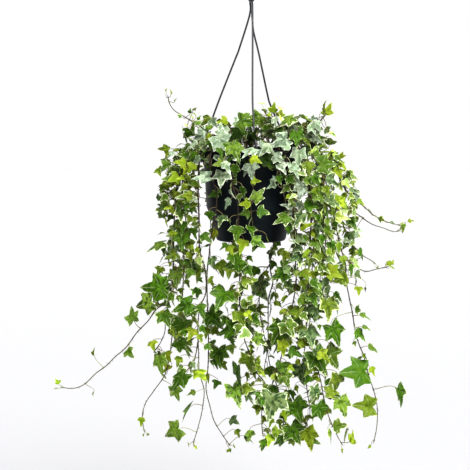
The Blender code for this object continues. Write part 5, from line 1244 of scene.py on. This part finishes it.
def raise_from_soil(garden, sprays, draw):
    """Leaves on long stalks straight from the soil, which roof it over."""
    for _ in range(SOIL_STALKS):
        turn, reach = draw.uniform(0, 2 * math.pi), SOIL_RADIUS * math.sqrt(draw.random())
        foot = np.array([reach * math.cos(turn), reach * math.sin(turn), SOIL_TOP_Z - 1.5])
        leaf = side_leaf(foot + (0, 0, 30), draw)
        leaf["notch"] = foot * (1.15, 1.15, 1) + (0, 0, draw.uniform(*SOIL_STALK))
        leaf["stalk"], leaf["facet"] = [foot], np.array([0, 0, 1.0])
        # painted shade: these leaves take dark tones, two in three the painted shade k, standing in for
        # the shade under the mound
        leaf["tone"] = draw.choice("kkd")
        name = min(sprays, key=lambda label: np.linalg.norm(sprays[label].routes[0][0] - foot))
        corners, _, blade = leaf_body(leaf, LEAF_ROOM)
        if not in_the_pot(corners[:-3]) and not garden.blocked(name, corners, blade, blade):
            garden.add(name, corners, blade, "leaf")
            sprays[name].leaves.append(leaf)


def nearest(points, line):
    """For each point: the nearest place on a line of points, its share of the line's length in
    steps, and how far off it is."""
    start, run = line[:-1], line[1:] - line[:-1]
    share = ((points[:, None] - start) * run).sum(axis=2) / (run ** 2).sum(axis=1)
    share = np.clip(share, 0, 1)
    places = start + share[..., None] * run
    away = np.linalg.norm(places - points[:, None], axis=2)
    best = away.argmin(axis=1)
    rows = np.arange(len(points))
    return places[rows, best], (best + share[rows, best]) / len(run), away[rows, best]


def stalk_paths(leaves, feet):
    """The paths of the leaves' stalks: cubic curves that leave the stem along the facet that the
    solid's stalk stands on, and reach the notch along the blade, from underneath."""
    tip, normal, notch, facet, size = gathered(leaves, "tip", "normal", "notch", "facet", "size")
    size = size[:, None]
    head = notch + 0.06 * size * tip - 0.35 * normal
    length = np.linalg.norm(feet - head, axis=1, keepdims=True)
    lift = feet + 0.38 * length * facet
    bend = head - 0.42 * length * tip - 0.10 * length * normal
    t = np.linspace(0, 1, STALK_POINTS)[None, :, None]
    feet, lift, bend, head = (part[:, None] for part in (feet, lift, bend, head))
    return (feet * (1 - t) ** 3 + 3 * lift * t * (1 - t) ** 2 + 3 * bend * t ** 2 * (1 - t)
            + head * t ** 3)


def aerial_roots(line, mean, draw):
    """Short roots that stand in loose clumps on a stem: each leaves its path square to it, and
    bends at random. Their paths, (roots, 3 points, 3), mm."""
    lows = np.flatnonzero(np.array([draw.random() for _ in line[1:-1]]) < ROOT_SHARE) + 1
    spots, ahead = (np.repeat(part, ROOT_CLUMP, axis=0)
                    for part in (line[lows], line[lows + 1] - line[lows - 1]))
    loose = np.array([[draw.gauss(0, 1) for _ in range(7)] for _ in spots])
    spots = spots + ahead * ROOT_SCATTER * loose[:, 6:]
    ahead = ahead / np.linalg.norm(ahead, axis=1, keepdims=True)
    away = loose[:, :3] + (0, 0.8, 0)
    away -= (away * ahead).sum(axis=1, keepdims=True) * ahead
    away /= np.linalg.norm(away, axis=1, keepdims=True)
    bend = away + ROOT_BEND * loose[:, 3:6]
    length = mean * np.array([draw.uniform(0.5, 1.5) for _ in spots])[:, None]
    return np.stack([spots, spots + 0.55 * length * away, spots + length * bend], axis=1)


def jittered(colours, draw, amount):
    """Colours with a little of their own lightness and hue for each leaf."""
    colours = np.asarray(colours)
    light = np.array([draw.gauss(1, amount) for _ in colours])[:, None]
    hue = np.array([[draw.gauss(1, HUE_SHARE * amount) for _ in range(3)] for _ in colours])
    return np.clip(colours * light * hue, 0, 1)


def swing_blade(leaf, draw):
    """Turn a leaf's blade a little about its own middle, along its midrib and across it."""
    swing = leaf.get("swing", SWING)
    roll, pitch = (min(SWING_MOST, max(-SWING_MOST, draw.gauss(0, swing))) for _ in range(2))
    tip, normal, reach = leaf["tip"], leaf["normal"], BLADE_MIDDLE * leaf["size"]
    normal = normal * math.cos(roll) + np.cross(tip, normal) * math.sin(roll)
    ahead = tip * math.cos(pitch) + normal * math.sin(pitch)
    leaf["normal"] = normal * math.cos(pitch) - tip * math.sin(pitch)
    leaf["notch"], leaf["tip"] = leaf["notch"] + reach * (tip - ahead), ahead


def spray_piece(name, spray, finishes, settings, draw):
    """One leafy stem: round stems that swell at their nodes, stalks, and lobed leaves."""
    bundle = Bundle()
    lines = [smooth_route(route, STEM_STEP) for route in spray.routes]
    spots = np.array([leaf["stalk"][-1] for leaf in spray.leaves])
    found = [nearest(spots, line) for line in lines]
    owners = np.argmin([away for _, _, away in found], axis=0)
    feet = np.array([found[owner][0][row] if found[owner][2][row] < OWN_STEM else spots[row]
                     for row, owner in enumerate(owners)])
    bark, young = np.array(settings.bark), np.array(settings.young_stem)
    for number, line in enumerate(lines):
        run = np.concatenate([[0], np.cumsum(np.linalg.norm(np.diff(line, axis=0), axis=1))])
        age = run / run[-1]
        if number:  # a branch is as old as the stem beyond its middle
            age = 0.4 + 0.6 * age
        radii = (settings.stem + (settings.stem_tip - settings.stem) * age) / MM
        own = feet[owners == number]
        if len(own):
            away = np.linalg.norm(line[:, None] - own, axis=2).min(axis=1)
            radii = radii * (1 + NODE_SWELL * np.exp(-(away / NODE_LENGTH) ** 2))
        radii[-1] *= 0.4
        skin = bark + (young - bark) * np.clip(1.6 * age - 0.5, 0, 1)[:, None]
        bundle.add(swept(line[None], radii[None], STEM_ROUND), grid_faces(len(line), STEM_ROUND),
                   STEM_FACE, heart=np.repeat(skin, STEM_ROUND, axis=0)[None])
        roots = aerial_roots(line, settings.root / MM, draw)
        if len(roots):
            bundle.add(swept(roots, np.tile(ROOT_TAPER, (len(roots), 1)), 3), grid_faces(3, 3),
                       STEM_FACE, heart=bark[None, None])
    for leaf in spray.leaves:
        swing_blade(leaf, draw)
    paths = stalk_paths(spray.leaves, feet)
    radii = np.linspace(settings.stalk_foot, settings.stalk_head, STALK_POINTS) / MM
    radii = np.tile(radii, (len(paths), 1))
    small = np.array([min(1.0, 0.55 + leaf["size"] / 60) for leaf in spray.leaves])
    tint = np.array([settings.stalk if draw.random() < STALKS_BROWN else settings.pale_stalk
                     for _ in spray.leaves])
    bundle.add(swept(paths, radii * small[:, None], STALK_ROUND),
               grid_faces(STALK_POINTS, STALK_ROUND), STALK_FACE,
               heart=jittered(tint, draw, STALK_JITTER)[:, None])
    for form, low, high in FORMS:
        leaves = [leaf for leaf in spray.leaves if low <= leaf["size"] < high]
        if not leaves:
            continue
        tones = [TONES[leaf["tone"]] for leaf in leaves]
        starts = [tone[4] + max(-0.05, draw.gauss(0, MARGIN_JITTER)) for tone in tones]
        place = np.empty((len(leaves), len(form.share), 3))
        place[..., 0], place[..., 1] = form.bays, form.share
        place[..., 2] = np.array(starts)[:, None]
        looks = {}
        for part, amount in LOOK_JITTER.items():
            colours = [getattr(settings, f"{tone[0]}_{part}") for tone in tones]
            looks[part] = jittered(colours, draw, amount)[:, None]
        corners = form.corners(leaves, settings.blade / MM, draw)
        bundle.add(corners, form.faces, form.finishes, place=place, **looks)
    piece = bundle.piece(name + "_ivy", finishes, 50)
    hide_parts(name)
    return piece


def cut_holes(piece, bars):
    """Cut upright bars out of a piece with a Boolean, and apply it."""
    bundle = Bundle()
    for corners, faces in bars:
        bundle.add(corners, faces)
    cutter = bundle.piece("hole_cutter", [piece.data.materials[0]], 30, carry=False)
    modifier = piece.modifiers.new("holes", "BOOLEAN")
    modifier.operation, modifier.solver, modifier.object = "DIFFERENCE", "EXACT", cutter
    depsgraph = bpy.context.evaluated_depsgraph_get()
    mesh = bpy.data.meshes.new_from_object(piece.evaluated_get(depsgraph))
    piece.modifiers.clear()
    piece.data = mesh
    bpy.data.objects.remove(cutter, do_unlink=True)
    mesh.set_sharp_from_angle(angle=math.radians(POT_SHARP))


def upright_bar(x, y, low, high, radius, sides):
    """A straight closed bar along Z, mm."""
    return turned_body([(radius, low), (radius, high)], sides) + (x, y, 0), grid_faces(2, sides)


def pot_piece(finish, ease):
    """The pot: an eased profile turned round Z, with its drain holes and the strands' holes."""
    outside = [(POT_FOOT - 1.5, BASE_Z), (POT_FOOT, BASE_Z + 2), (POT_STEP, STEP_Z),
               (POT_SHOULDER, SHOULDER_Z), (POT_NECK, RIM_UNDER)]
    skirt = [(RIM_RADIUS - WALL, RIM_UNDER), (RIM_RADIUS - WALL, RIM_TOP - RIM_DROP),
             (RIM_RADIUS, RIM_TOP - RIM_DROP), (RIM_RADIUS, RIM_TOP - 1.2),
             (RIM_RADIUS - 1.2, RIM_TOP), (POT_NECK - 1, RIM_TOP), (POT_NECK - WALL, RIM_UNDER)]
    inside = [(POT_SHOULDER - WALL, SHOULDER_Z + 0.6), (POT_STEP - WALL, STEP_Z + 0.6),
              (POT_FOOT - WALL, BASE_Z + WALL)]
    start, stop = (POT_FOOT - 6, BASE_Z), (POT_FOOT - 8, BASE_Z + WALL)
    profile = rounded([start] + outside + skirt + inside + [stop], ease)
    bundle = Bundle()
    bundle.add(turned_body(profile, POT_ROUND), grid_faces(len(profile), POT_ROUND))
    pot = bundle.piece("pot_moulding", [finish], POT_SHARP, carry=False)
    bars = []
    for index in range(DRAIN_HOLES):
        turn = 2 * math.pi * (index + 0.5) / DRAIN_HOLES
        bars.append(upright_bar(DRAIN_RING * math.cos(turn), DRAIN_RING * math.sin(turn),
                                BASE_Z - 3, BASE_Z + WALL + 3, DRAIN_RADIUS, 24))
    for angle, _ in STRANDS.values():
        x, y = ring_spot(CLIP_RING, angle)
        bars.append(upright_bar(x, y, RIM_TOP - 5, RIM_TOP + 3, CLIP_HOLE_RADIUS, 20))
    cut_holes(pot, bars)
    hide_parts("pot")


def soil_piece(finish):
    """The potting soil: a turned body whose top is rough, with loose crumbs of bark and peat."""
    inset = WALL + SOIL_GAP
    wall = [(POT_FOOT - inset, BASE_Z + WALL + GAP), (POT_STEP - inset, STEP_Z + 0.8),
            (POT_SHOULDER - inset, SHOULDER_Z + 0.7), (SOIL_RADIUS, SOIL_EDGE_Z)]
    reach = np.linspace(SOIL_RADIUS - 2, 2, SOIL_RINGS)
    top = np.column_stack([reach, np.interp(reach, (SOIL_CROWN, SOIL_RADIUS),
                                            (SOIL_TOP_Z - 1, SOIL_EDGE_Z))])
    profile = np.vstack([wall, top])
    corners = turned_body(profile, SOIL_ROUND)
    upper = corners[0, :, 2] > SOIL_EDGE_Z - 0.01
    corners[0, upper, 2] += 1.1 * rough(corners[0, upper, :2], 9, 5) + 0.3
    bundle = Bundle()
    bundle.add(corners, grid_faces(len(profile), SOIL_ROUND), heart=np.ones((1, 1, 3)))
    draw = np.random.default_rng(SOIL_SEED)
    tall = np.arange(1, 4) * math.pi / 4
    ball = turned_body(np.column_stack([np.sin(tall), np.cos(tall)]), 6)[0]
    way = draw.uniform(0, 2 * math.pi, CRUMBS)
    reach = (SOIL_RADIUS - 4) * np.sqrt(draw.uniform(0, 1, CRUMBS))
    middle = np.stack([reach * np.cos(way), reach * np.sin(way),
                       np.full(CRUMBS, SOIL_TOP_Z - 0.5)], -1)
    stretch = draw.uniform(0.5, 1.0, (CRUMBS, 1, 3)) * draw.uniform(*CRUMB_SIZE, (CRUMBS, 1, 1))
    lumps = middle[:, None] + ball * stretch * draw.uniform(0.75, 1.25, (CRUMBS, len(ball), 1))
    pale = draw.uniform(0.5, 1.9, (CRUMBS, 1, 1)) * np.ones((CRUMBS, 1, 3))
    bundle.add(lumps, [face[::-1] for face in grid_faces(3, 6)], heart=pale)
    soil = bundle.piece("soil_bed", [finish], 60)
    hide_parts("soil")


def strand_piece(name, finish, thick):
    """A strand: a tapered round bar along the solid's own route, with its barbed end."""
    points, barb = strand_points(*STRANDS[name])
    line = smooth_route(points, STRAND_STEP)
    radii = np.full(len(line), thick)
    radii[line[:, 2] > HUB_BOTTOM - 2] = STRAND_TOP_RADIUS
    collar = 1.0 * np.exp(-((line[:, 2] - (RIM_TOP + 4.5)) / 1.8) ** 2)
    line = np.vstack([line, barb])
    radii = np.concatenate([radii + collar, [STRAND_RADIUS, BARB_RADIUS, BARB_RADIUS - 0.5, 0.8]])
    bundle = Bundle()
    bundle.add(swept(line[None], radii[None], STRAND_ROUND), grid_faces(len(line), STRAND_ROUND))
    strand = bundle.piece(name + "_moulding", [finish], 50, carry=False)
    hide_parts(name)


def hook_piece(finish, wire):
    """The hook: a round wire bent along the solid's own route, and the turned hub under it."""
    middle = HOOK_INSIDE + wire
    points = [(0, 0, HUB_TOP - 3), (0, 0, HUB_TOP + 4), (4, 0, HUB_TOP + 10),
              (middle - 1.5, 0, HUB_TOP + 19)]
    for angle in range(0, 181, 22):
        turn = math.radians(angle)
        points.append((middle * math.cos(turn), 0, -HOOK_INSIDE + middle * math.sin(turn)))
    points.append((-middle - 0.6, 0, -HOOK_INSIDE - 6))
    line = smooth_route(points, WIRE_STEP)
    end = line[-1] + unit(line[-1] - line[-2]) * 0.9
    radii = np.append(np.full(len(line), wire), 0.55 * wire)
    line = np.vstack([line, end])
    profile = rounded([(HUB_RADIUS - 2.2, HUB_BOTTOM), (HUB_RADIUS - 0.7, HUB_BOTTOM),
                       (HUB_RADIUS, HUB_BOTTOM + 2), (HUB_RADIUS, HUB_TOP - 3.5),
                       (HUB_RADIUS - 2.2, HUB_TOP), (HUB_RADIUS - 3.2, HUB_TOP)], 1.0)
    bundle = Bundle()
    bundle.add(swept(line[None], radii[None], WIRE_ROUND), grid_faces(len(line), WIRE_ROUND))
    bundle.add(turned_body(profile, HUB_ROUND), grid_faces(len(profile), HUB_ROUND))
    hook = bundle.piece("hook_moulding", [finish], 50, carry=False)
    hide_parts("hook")


def add(tree, kind, inputs=None, **settings):
    """One shader node, with its settings, and with a value or a link for each input."""
    node = tree.nodes.new("ShaderNode" + kind)
    for name, value in settings.items():
        setattr(node, name, value)
    for name, value in (inputs or {}).items():
        if isinstance(value, bpy.types.NodeSocket):
            tree.links.new(value, node.inputs[name])
        else:
            node.inputs[name].default_value = value
    return node


def finish_of(name, **inputs):
    """A new material with a Principled shader, whose plain inputs are set on its own sockets."""
    material = bpy.data.materials.new(name)
    material.use_nodes = True
    tree = material.node_tree
    shader = tree.nodes["Principled BSDF"]
    for label, value in inputs.items():
        shader.inputs[label.replace("_", " ")].default_value = value
    return material, tree, shader


def grain(tree, size, detail=2.0, stretch=(1, 1, 1)):
    """Noise on Object coordinates, its coarsest lumps about size millimetres across."""
    coordinates = add(tree, "TexCoord")
    spread = add(tree, "Mapping", {"Vector": coordinates.outputs["Object"], "Scale": stretch})
    noise = add(tree, "TexNoise", {"Vector": spread.outputs["Vector"], "Scale": 1 / (size * MM),
                                   "Detail": detail})
    return noise.outputs["Fac"]


def ramped(tree, value, low, high, to_low=0.0, to_high=1.0):
    """A value taken from one range to another, and held at its ends."""
    node = add(tree, "MapRange", {"Value": value, "From Min": low, "From Max": high,
                                  "To Min": to_low, "To Max": to_high})
    return node.outputs["Result"]


def mixed(tree, share, first, second, blend_type="MIX"):
    """Two colours mixed by a share."""
    node = add(tree, "Mix", {"Factor": share, MIX_A: first, MIX_B: second}, data_type="RGBA",
               blend_type=blend_type)
    return node.outputs[MIX_OUT]


def maths(tree, operation, first, second=0.0):
    """One arithmetic step."""
    return add(tree, "Math", {0: first, 1: second}, operation=operation).outputs["Value"]


def bumped(tree, shader, height, depth, strength=1.0):
    """Relief from a height of 0 to 1, depth millimetres deep."""
    bump = add(tree, "Bump", {"Height": height, "Distance": depth * MM, "Strength": strength})
    tree.links.new(bump.outputs["Normal"], shader.inputs["Normal"])


def moulded_polypropylene(settings):
    """Polypropylene, injection moulded and slightly textured: an even near-black with a broad
    soft highlight, fine grain from the mould, and dust that dulls it here and there."""
    material, tree, shader = finish_of("moulded_polypropylene", Roughness=0.42, IOR=1.49,
                                       Specular_IOR_Level=0.12)
    dust = ramped(tree, grain(tree, 26, 4), 0.42, 0.75)
    colour = mixed(tree, dust, (*settings.colour, 1), (*settings.dust, 1))
    tree.links.new(colour, shader.inputs["Base Color"])
    tree.links.new(ramped(tree, grain(tree, 9, 3), 0.3, 0.7, 0.36, 0.50), shader.inputs["Roughness"])
    # mould grain of about 0.3 mm, drawn at 0.9 mm so that it shows
    bumped(tree, shader, grain(tree, 0.9, 2), 0.05, 0.5)
    return material


def hanger_polypropylene(settings):
    """Polypropylene, moulded and drawn out: dark, a little glossier than the pot, with faint
    lines along the strands."""
    material, tree, shader = finish_of("drawn_polypropylene", Roughness=0.38, IOR=1.49)
    lines = grain(tree, 1.6, 2, (1, 1, 0.08))
    colour = mixed(tree, lines, (*settings.colour, 1), (*settings.worn, 1))
    tree.links.new(colour, shader.inputs["Base Color"])
    bumped(tree, shader, lines, 0.05, 0.4)
    return material


def potting_soil(settings):
    """Peat and composted bark, loose: dark brown, matt, with paler fibres and crumbs."""
    material, tree, shader = finish_of("peat_and_bark", Roughness=0.95, IOR=1.40)
    shade = add(tree, "Attribute", attribute_name="heart").outputs["Color"]
    crumbs = ramped(tree, grain(tree, 3.5, 5), 0.38, 0.66)
    colour = mixed(tree, crumbs, (*settings.soil, 1), (*settings.bark_chips, 1))
    colour = mixed(tree, 1.0, colour, shade, "MULTIPLY")
    tree.links.new(colour, shader.inputs["Base Color"])
    bumped(tree, shader, grain(tree, 2.0, 5), 0.9)
    return material


def blade_face(name, pale, rough_low, rough_high):
    """The nodes of one face of a leaf: blotches at the heart, a margin, and veins.

    The attribute place has the share of the way from a main vein to the bay beside it, the share
    of the way from the heart to the edge, and the share at which the margin starts.
    """
    material, tree, shader = finish_of(name, IOR=1.45, Specular_IOR_Level=0.08)
    heart, blotch, margin = (add(tree, "Attribute", attribute_name=label).outputs["Color"]
                             for label in ("heart", "blotch", "margin"))
    place = add(tree, "Attribute", attribute_name="place").outputs["Vector"]
    parts = add(tree, "SeparateXYZ", {"Vector": place}).outputs
    away, out, start = parts["X"], parts["Y"], parts["Z"]
    # blotches of about 7 mm, paler away from the veins
    patches = maths(tree, "ADD", grain(tree, 7, 3), maths(tree, "MULTIPLY", away, 0.16))
    colour = mixed(tree, ramped(tree, patches, 0.48, 0.66), heart, blotch)
    # the margin, its inner side ragged by about 3 mm
    ragged = maths(tree, "MULTIPLY", maths(tree, "SUBTRACT", grain(tree, 3.2, 3), 0.5), 0.75)
    reach = maths(tree, "SUBTRACT", maths(tree, "ADD", out, ragged), start)
    colour = mixed(tree, ramped(tree, reach, -0.02, 0.05), colour, margin)
    # main veins run to the lobes' tips, and side veins slant outwards from them
    spread = maths(tree, "MULTIPLY", away, maths(tree, "ADD", out, 0.15))
    main = ramped(tree, spread, 0.035, 0.075, 1.0, 0.0)
    slant = maths(tree, "SUBTRACT", maths(tree, "MULTIPLY", out, 30.0),
                  maths(tree, "MULTIPLY", away, 12.0))
    side = ramped(tree, maths(tree, "SINE", slant), 0.86, 0.98, 0.0, 0.45)
    side = maths(tree, "MULTIPLY", side, ramped(tree, spread, 0.03, 0.35, 1.0, 0.0))
    veins = maths(tree, "MAXIMUM", main, side)
    colour = mixed(tree, maths(tree, "MULTIPLY", veins, 0.32), colour, margin)
    if pale:
        colour = mixed(tree, pale, colour, (0.50, 0.62, 0.36, 1))
    tree.links.new(colour, shader.inputs["Base Color"])
    tree.links.new(ramped(tree, grain(tree, 2.2, 2), 0.3, 0.7, rough_low, rough_high),
                   shader.inputs["Roughness"])
    relief = maths(tree, "SUBTRACT", maths(tree, "MULTIPLY", grain(tree, 1.8, 2), 0.35), veins)
    bumped(tree, shader, relief, 0.25, 0.7)
    return material


def leaf_finishes():
    """Living leaf: a waxy upper face with a soft sheen, and a paler, duller underside."""
    return [blade_face("ivy_leaf_upper_face", 0.0, 0.34, 0.48),
            blade_face("ivy_leaf_underside", 0.12, 0.55, 0.68)]


def stem_finish(name, fibre, roughness):
    """Living stem: bark or skin of the colour that the corners carry, streaked along it."""
    material, tree, shader = finish_of(name, Roughness=roughness, IOR=1.45)
    skin = add(tree, "Attribute", attribute_name="heart").outputs["Color"]
    streaks = grain(tree, fibre, 3, (1, 1, 0.25))
    dark = mixed(tree, 1.0, skin, (0.52, 0.50, 0.48, 1), "MULTIPLY")
    colour = mixed(tree, ramped(tree, streaks, 0.35, 0.62), dark, skin)
    tree.links.new(colour, shader.inputs["Base Color"])
    bumped(tree, shader, streaks, 0.2)
    return material


def studio_floor(settings):
    """Matt white paint on board: pale and without gloss, so that only soft shade shows, with painted
    shade that darkens it a little near its middle, under the plant.
    """
    material, tree, shader = finish_of("matt_white_paint", Roughness=0.9, IOR=1.45)
    # the place is measured from the middle of the floor, in metres
    place = add(tree, "TexCoord").outputs["Object"]
    away = add(tree, "VectorMath", {0: place}, operation="LENGTH").outputs["Value"]
    # painted shade: 0.93 of the floor's colour within 2 m of its middle, under the plant, rising to the
    # full colour at 6 m
    colour = mixed(tree, ramped(tree, away, 2.0, 6.0), (*(0.93 * part for part in settings.floor), 1),
                   (*settings.floor, 1))
    tree.links.new(colour, shader.inputs["Base Color"])
    return material


def soft_sun(name, place, angle, strength):
    """Even light from a wide window in the direction of a place, with its angle in degrees."""
    lamp = bpy.data.lights.new(name, "SUN")
    lamp.angle, lamp.energy = math.radians(angle), strength
    light = bpy.data.objects.new(name, lamp)
    light.location = place
    light.rotation_euler = Vector(place).to_track_quat("Z", "Y").to_euler()
    bpy.context.scene.collection.objects.link(light)


def set_stage(scene, settings):
    """The floor below the longest stems, soft light from above and the sides, the camera."""
    height = CAD_BOX[0][2] - FLOOR_GAP
    mesh = bpy.data.meshes.new("floor")
    mesh.from_pydata([(x * FLOOR_HALF, y * FLOOR_HALF, height)
                      for x, y in ((-1, -1), (1, -1), (1, 1), (-1, 1))], [], [(0, 1, 2, 3)])
    mesh.materials.append(studio_floor(settings))
    floor = bpy.data.objects.new("floor", mesh)
    scene.collection.objects.link(floor)
    soft_sun("key_light", (0.6, -1.0, 1.2), 45, settings.key)
    soft_sun("fill_light", (-1.2, -0.8, 0.4), 90, settings.fill)
    soft_sun("back_light", (0.5, 1.0, 1.1), 60, settings.back)
    world = bpy.data.worlds.new("white_studio")
    world.use_nodes = True
    tree = world.node_tree
    # white as far up as the views reach, and dimmer overhead
    way = add(tree, "TexCoord").outputs["Generated"]
    height = add(tree, "SeparateXYZ", {"Vector": way}).outputs["Z"]
    seen = add(tree, "LightPath").outputs["Is Camera Ray"]
    light = ramped(tree, seen, 0, 1, settings.around, settings.world)
    share = ramped(tree, height, 0.12, 0.35, 1.0, settings.ceiling)
    tree.links.new(maths(tree, "MULTIPLY", light, share),
                   tree.nodes["Background"].inputs["Strength"])
    tree.nodes["Background"].inputs["Color"].default_value = (1, 1, 1, 1)
    scene.world = world
    scene.view_settings.view_transform = "Standard"
    scene.view_settings.gamma = settings.contrast
    lens = bpy.data.cameras.new("camera")
    lens.sensor_width, lens.lens = 36.0, settings.lens
    camera = bpy.data.objects.new("camera", lens)
    camera.location = CAMERA_AT
    camera.rotation_euler = (Vector(CAMERA_AIM)
                             - Vector(CAMERA_AT)).to_track_quat("-Z", "Y").to_euler()
    scene.collection.objects.link(camera)
    scene.camera = camera


def colour_of(label, sight, hexcode):
    """A colour property with an sRGB hex default."""
    return bpy.props.FloatVectorProperty(name=label, description=sight, subtype="COLOR", size=3,
                                         min=0.0, max=1.0, default=linear(hexcode))


def size_of(label, sight, millimetres):
    """A length property, kept in metres, with a default in millimetres."""
    return bpy.props.FloatProperty(name=label, description=sight, unit="LENGTH", min=0.0,
                                   precision=5, default=millimetres * MM)


def level_of(label, sight, value):
    """A plain number property."""
    return bpy.props.FloatProperty(name=label, description=sight, min=0.0, default=value)


class PotSettings(bpy.types.PropertyGroup):
    """The pot's edges, and the pot's and the soil's colours."""

    ease: size_of("Edge", "How far from a corner the pot's edges are eased", 0.7)
    colour: colour_of("Pot", "Colour of the moulded plastic", "0B1216")
    dust: colour_of("Dust", "Colour where the plastic is dulled by dust and lime", "141D21")
    soil: colour_of("Soil", "Colour of the moist peat", "2B2018")
    bark_chips: colour_of("Bark chips", "Colour of the drier crumbs of bark", "5C4634")


class HangerSettings(bpy.types.PropertyGroup):
    """The hanger's sizes and colours."""

    strand: size_of("Strand", "Radius of a strand", STRAND_RADIUS)
    wire: size_of("Hook", "Radius of the hook's wire", HOOK_WIRE)
    colour: colour_of("Strands", "Colour of the strands and the hook", "1D1F22")
    worn: colour_of("Strands, worn", "Colour along the lines of the drawn plastic", "34373B")


class LeafSettings(bpy.types.PropertyGroup):
    """The sizes and the colours of the leaves, the stalks and the stems."""

    stem: size_of("Stem", "Radius of a stem at its foot", 1.15)
    stem_tip: size_of("Stem tip", "Radius of a stem at its tip", 0.6)
    stalk_foot: size_of("Stalk foot", "Radius of a large leaf's stalk at the stem", 0.62)
    stalk_head: size_of("Stalk head", "Radius of a large leaf's stalk at the blade", 0.42)
    blade: size_of("Blade", "Thickness of a blade at its heart", 0.8)
    root: size_of("Root", "Mean length of an aerial root", 2.4)
    bark: colour_of("Bark", "Colour of the woody foot of a stem", "43352A")
    young_stem: colour_of("Young stem", "Colour of a stem towards its tip", "5E5C36")
    stalk: colour_of("Stalk", "Colour of most leaf stalks", "8A7C4E")
    pale_stalk: colour_of("Pale stalk", "Colour of the greener leaf stalks", "A9B07C")


for tone, *colours, _ in TONES.values():
    for part, hexcode in zip(("heart", "blotch", "margin"), colours):
        label = f"{tone.capitalize()} {part}"
        LeafSettings.__annotations__[f"{tone}_{part}"] = colour_of(
            label, f"Colour of the {part} of a {tone} leaf", hexcode)


class StageSettings(bpy.types.PropertyGroup):
    """The floor, the lights and the camera."""

    floor: colour_of("Floor", "Colour of the plain floor", "C1C1C3")
    world: level_of("Backdrop", "Brightness of the backdrop to the eye", 1.0)
    around: level_of("Surround", "Strength of the even light from round about", 0.3)
    ceiling: level_of("Ceiling", "Share of the even light that comes from overhead too", 0.3)
    key: level_of("Key light", "Strength of the soft light from above the front right", 6.2)
    fill: level_of("Fill light", "Strength of the soft light from the left", 0.8)
    back: level_of("Back light", "Strength of the soft light from above the back", 1.6)
    contrast: level_of("Gamma", "Gamma of the picture: lower deepens the shadows", 0.88)
    lens: bpy.props.FloatProperty(name="Lens", description="Focal length of the camera",
                                  default=102.7, min=1.0, unit="CAMERA")


class IVY_OT_mould_pot(bpy.types.Operator):
    """Turn the pot and cut its holes"""

    bl_idname = "ivy.mould_pot"
    bl_label = "Mould Pot"

    def execute(self, context):
        settings = context.scene.ivy_pot
        pot_piece(moulded_polypropylene(settings), settings.ease / MM)
        return {"FINISHED"}


class IVY_OT_fill_soil(bpy.types.Operator):
    """Fill the pot with soil"""

    bl_idname = "ivy.fill_soil"
    bl_label = "Fill Soil"

    def execute(self, context):
        soil_piece(potting_soil(context.scene.ivy_pot))
        return {"FINISHED"}


class IVY_OT_hang_pot(bpy.types.Operator):
    """Make the hook with its hub, and the three strands"""

    bl_idname = "ivy.hang_pot"
    bl_label = "Make Hanger"

    def execute(self, context):
        settings = context.scene.ivy_hanger
        finish = hanger_polypropylene(settings)
        hook_piece(finish, settings.wire / MM)
        for name in STRANDS:
            strand_piece(name, finish, settings.strand / MM)
        return {"FINISHED"}


class IVY_OT_grow_ivy(bpy.types.Operator):
    """Grow every leafy stem with its leaves"""

    bl_idname = "ivy.grow_ivy"
    bl_label = "Grow Ivy"

    def execute(self, context):
        settings = context.scene.ivy_leaves
        sprays = grow_sprays()
        garden, veil = hang_leaves(sprays)
        hang_small_leaves(garden, veil, sprays)
        finishes = leaf_finishes() + [stem_finish("ivy_stem_bark", 1.2, 0.72),
                                      stem_finish("ivy_leaf_stalk", 0.9, 0.55)]
        draw = random.Random(LOOK_SEED)
        for name, spray in sprays.items():
            spray_piece(name, spray, finishes, settings, draw)
        return {"FINISHED"}


class IVY_OT_set_stage(bpy.types.Operator):
    """Lay the floor, place the lights and aim the camera"""

    bl_idname = "ivy.set_stage"
    bl_label = "Set Stage"

    def execute(self, context):
        set_stage(context.scene, context.scene.ivy_stage)
        return {"FINISHED"}


class IVY_PT_panel(bpy.types.Panel):
    """Buttons and settings of the potted ivy"""

    bl_idname = "IVY_PT_panel"
    bl_label = "Potted Ivy"
    bl_space_type = "VIEW_3D"
    bl_region_type = "UI"
    bl_category = "Ivy"

    def draw(self, context):
        for step in STEPS:
            self.layout.operator(step.bl_idname)
        for name, group in GROUPS.items():
            box = self.layout.box()
            for setting in group.__annotations__:
                box.prop(getattr(context.scene, name), setting)


STEPS = (IVY_OT_mould_pot, IVY_OT_fill_soil, IVY_OT_hang_pot, IVY_OT_grow_ivy, IVY_OT_set_stage)
GROUPS = {"ivy_pot": PotSettings, "ivy_hanger": HangerSettings, "ivy_leaves": LeafSettings,
          "ivy_stage": StageSettings}


def register():
    for group in (*GROUPS.values(), *STEPS, IVY_PT_panel):
        bpy.utils.register_class(group)
    for name, group in GROUPS.items():
        setattr(bpy.types.Scene, name, bpy.props.PointerProperty(type=group))


def unregister():
    for name in GROUPS:
        delattr(bpy.types.Scene, name)
    for group in (IVY_PT_panel, *STEPS[::-1], *GROUPS.values()):
        bpy.utils.unregister_class(group)


def main():
    register()
    for step in STEPS:
        family, name = step.bl_idname.split(".")
        getattr(getattr(bpy.ops, family), name)()
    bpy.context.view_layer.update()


if __name__ == "__main__":
    main()
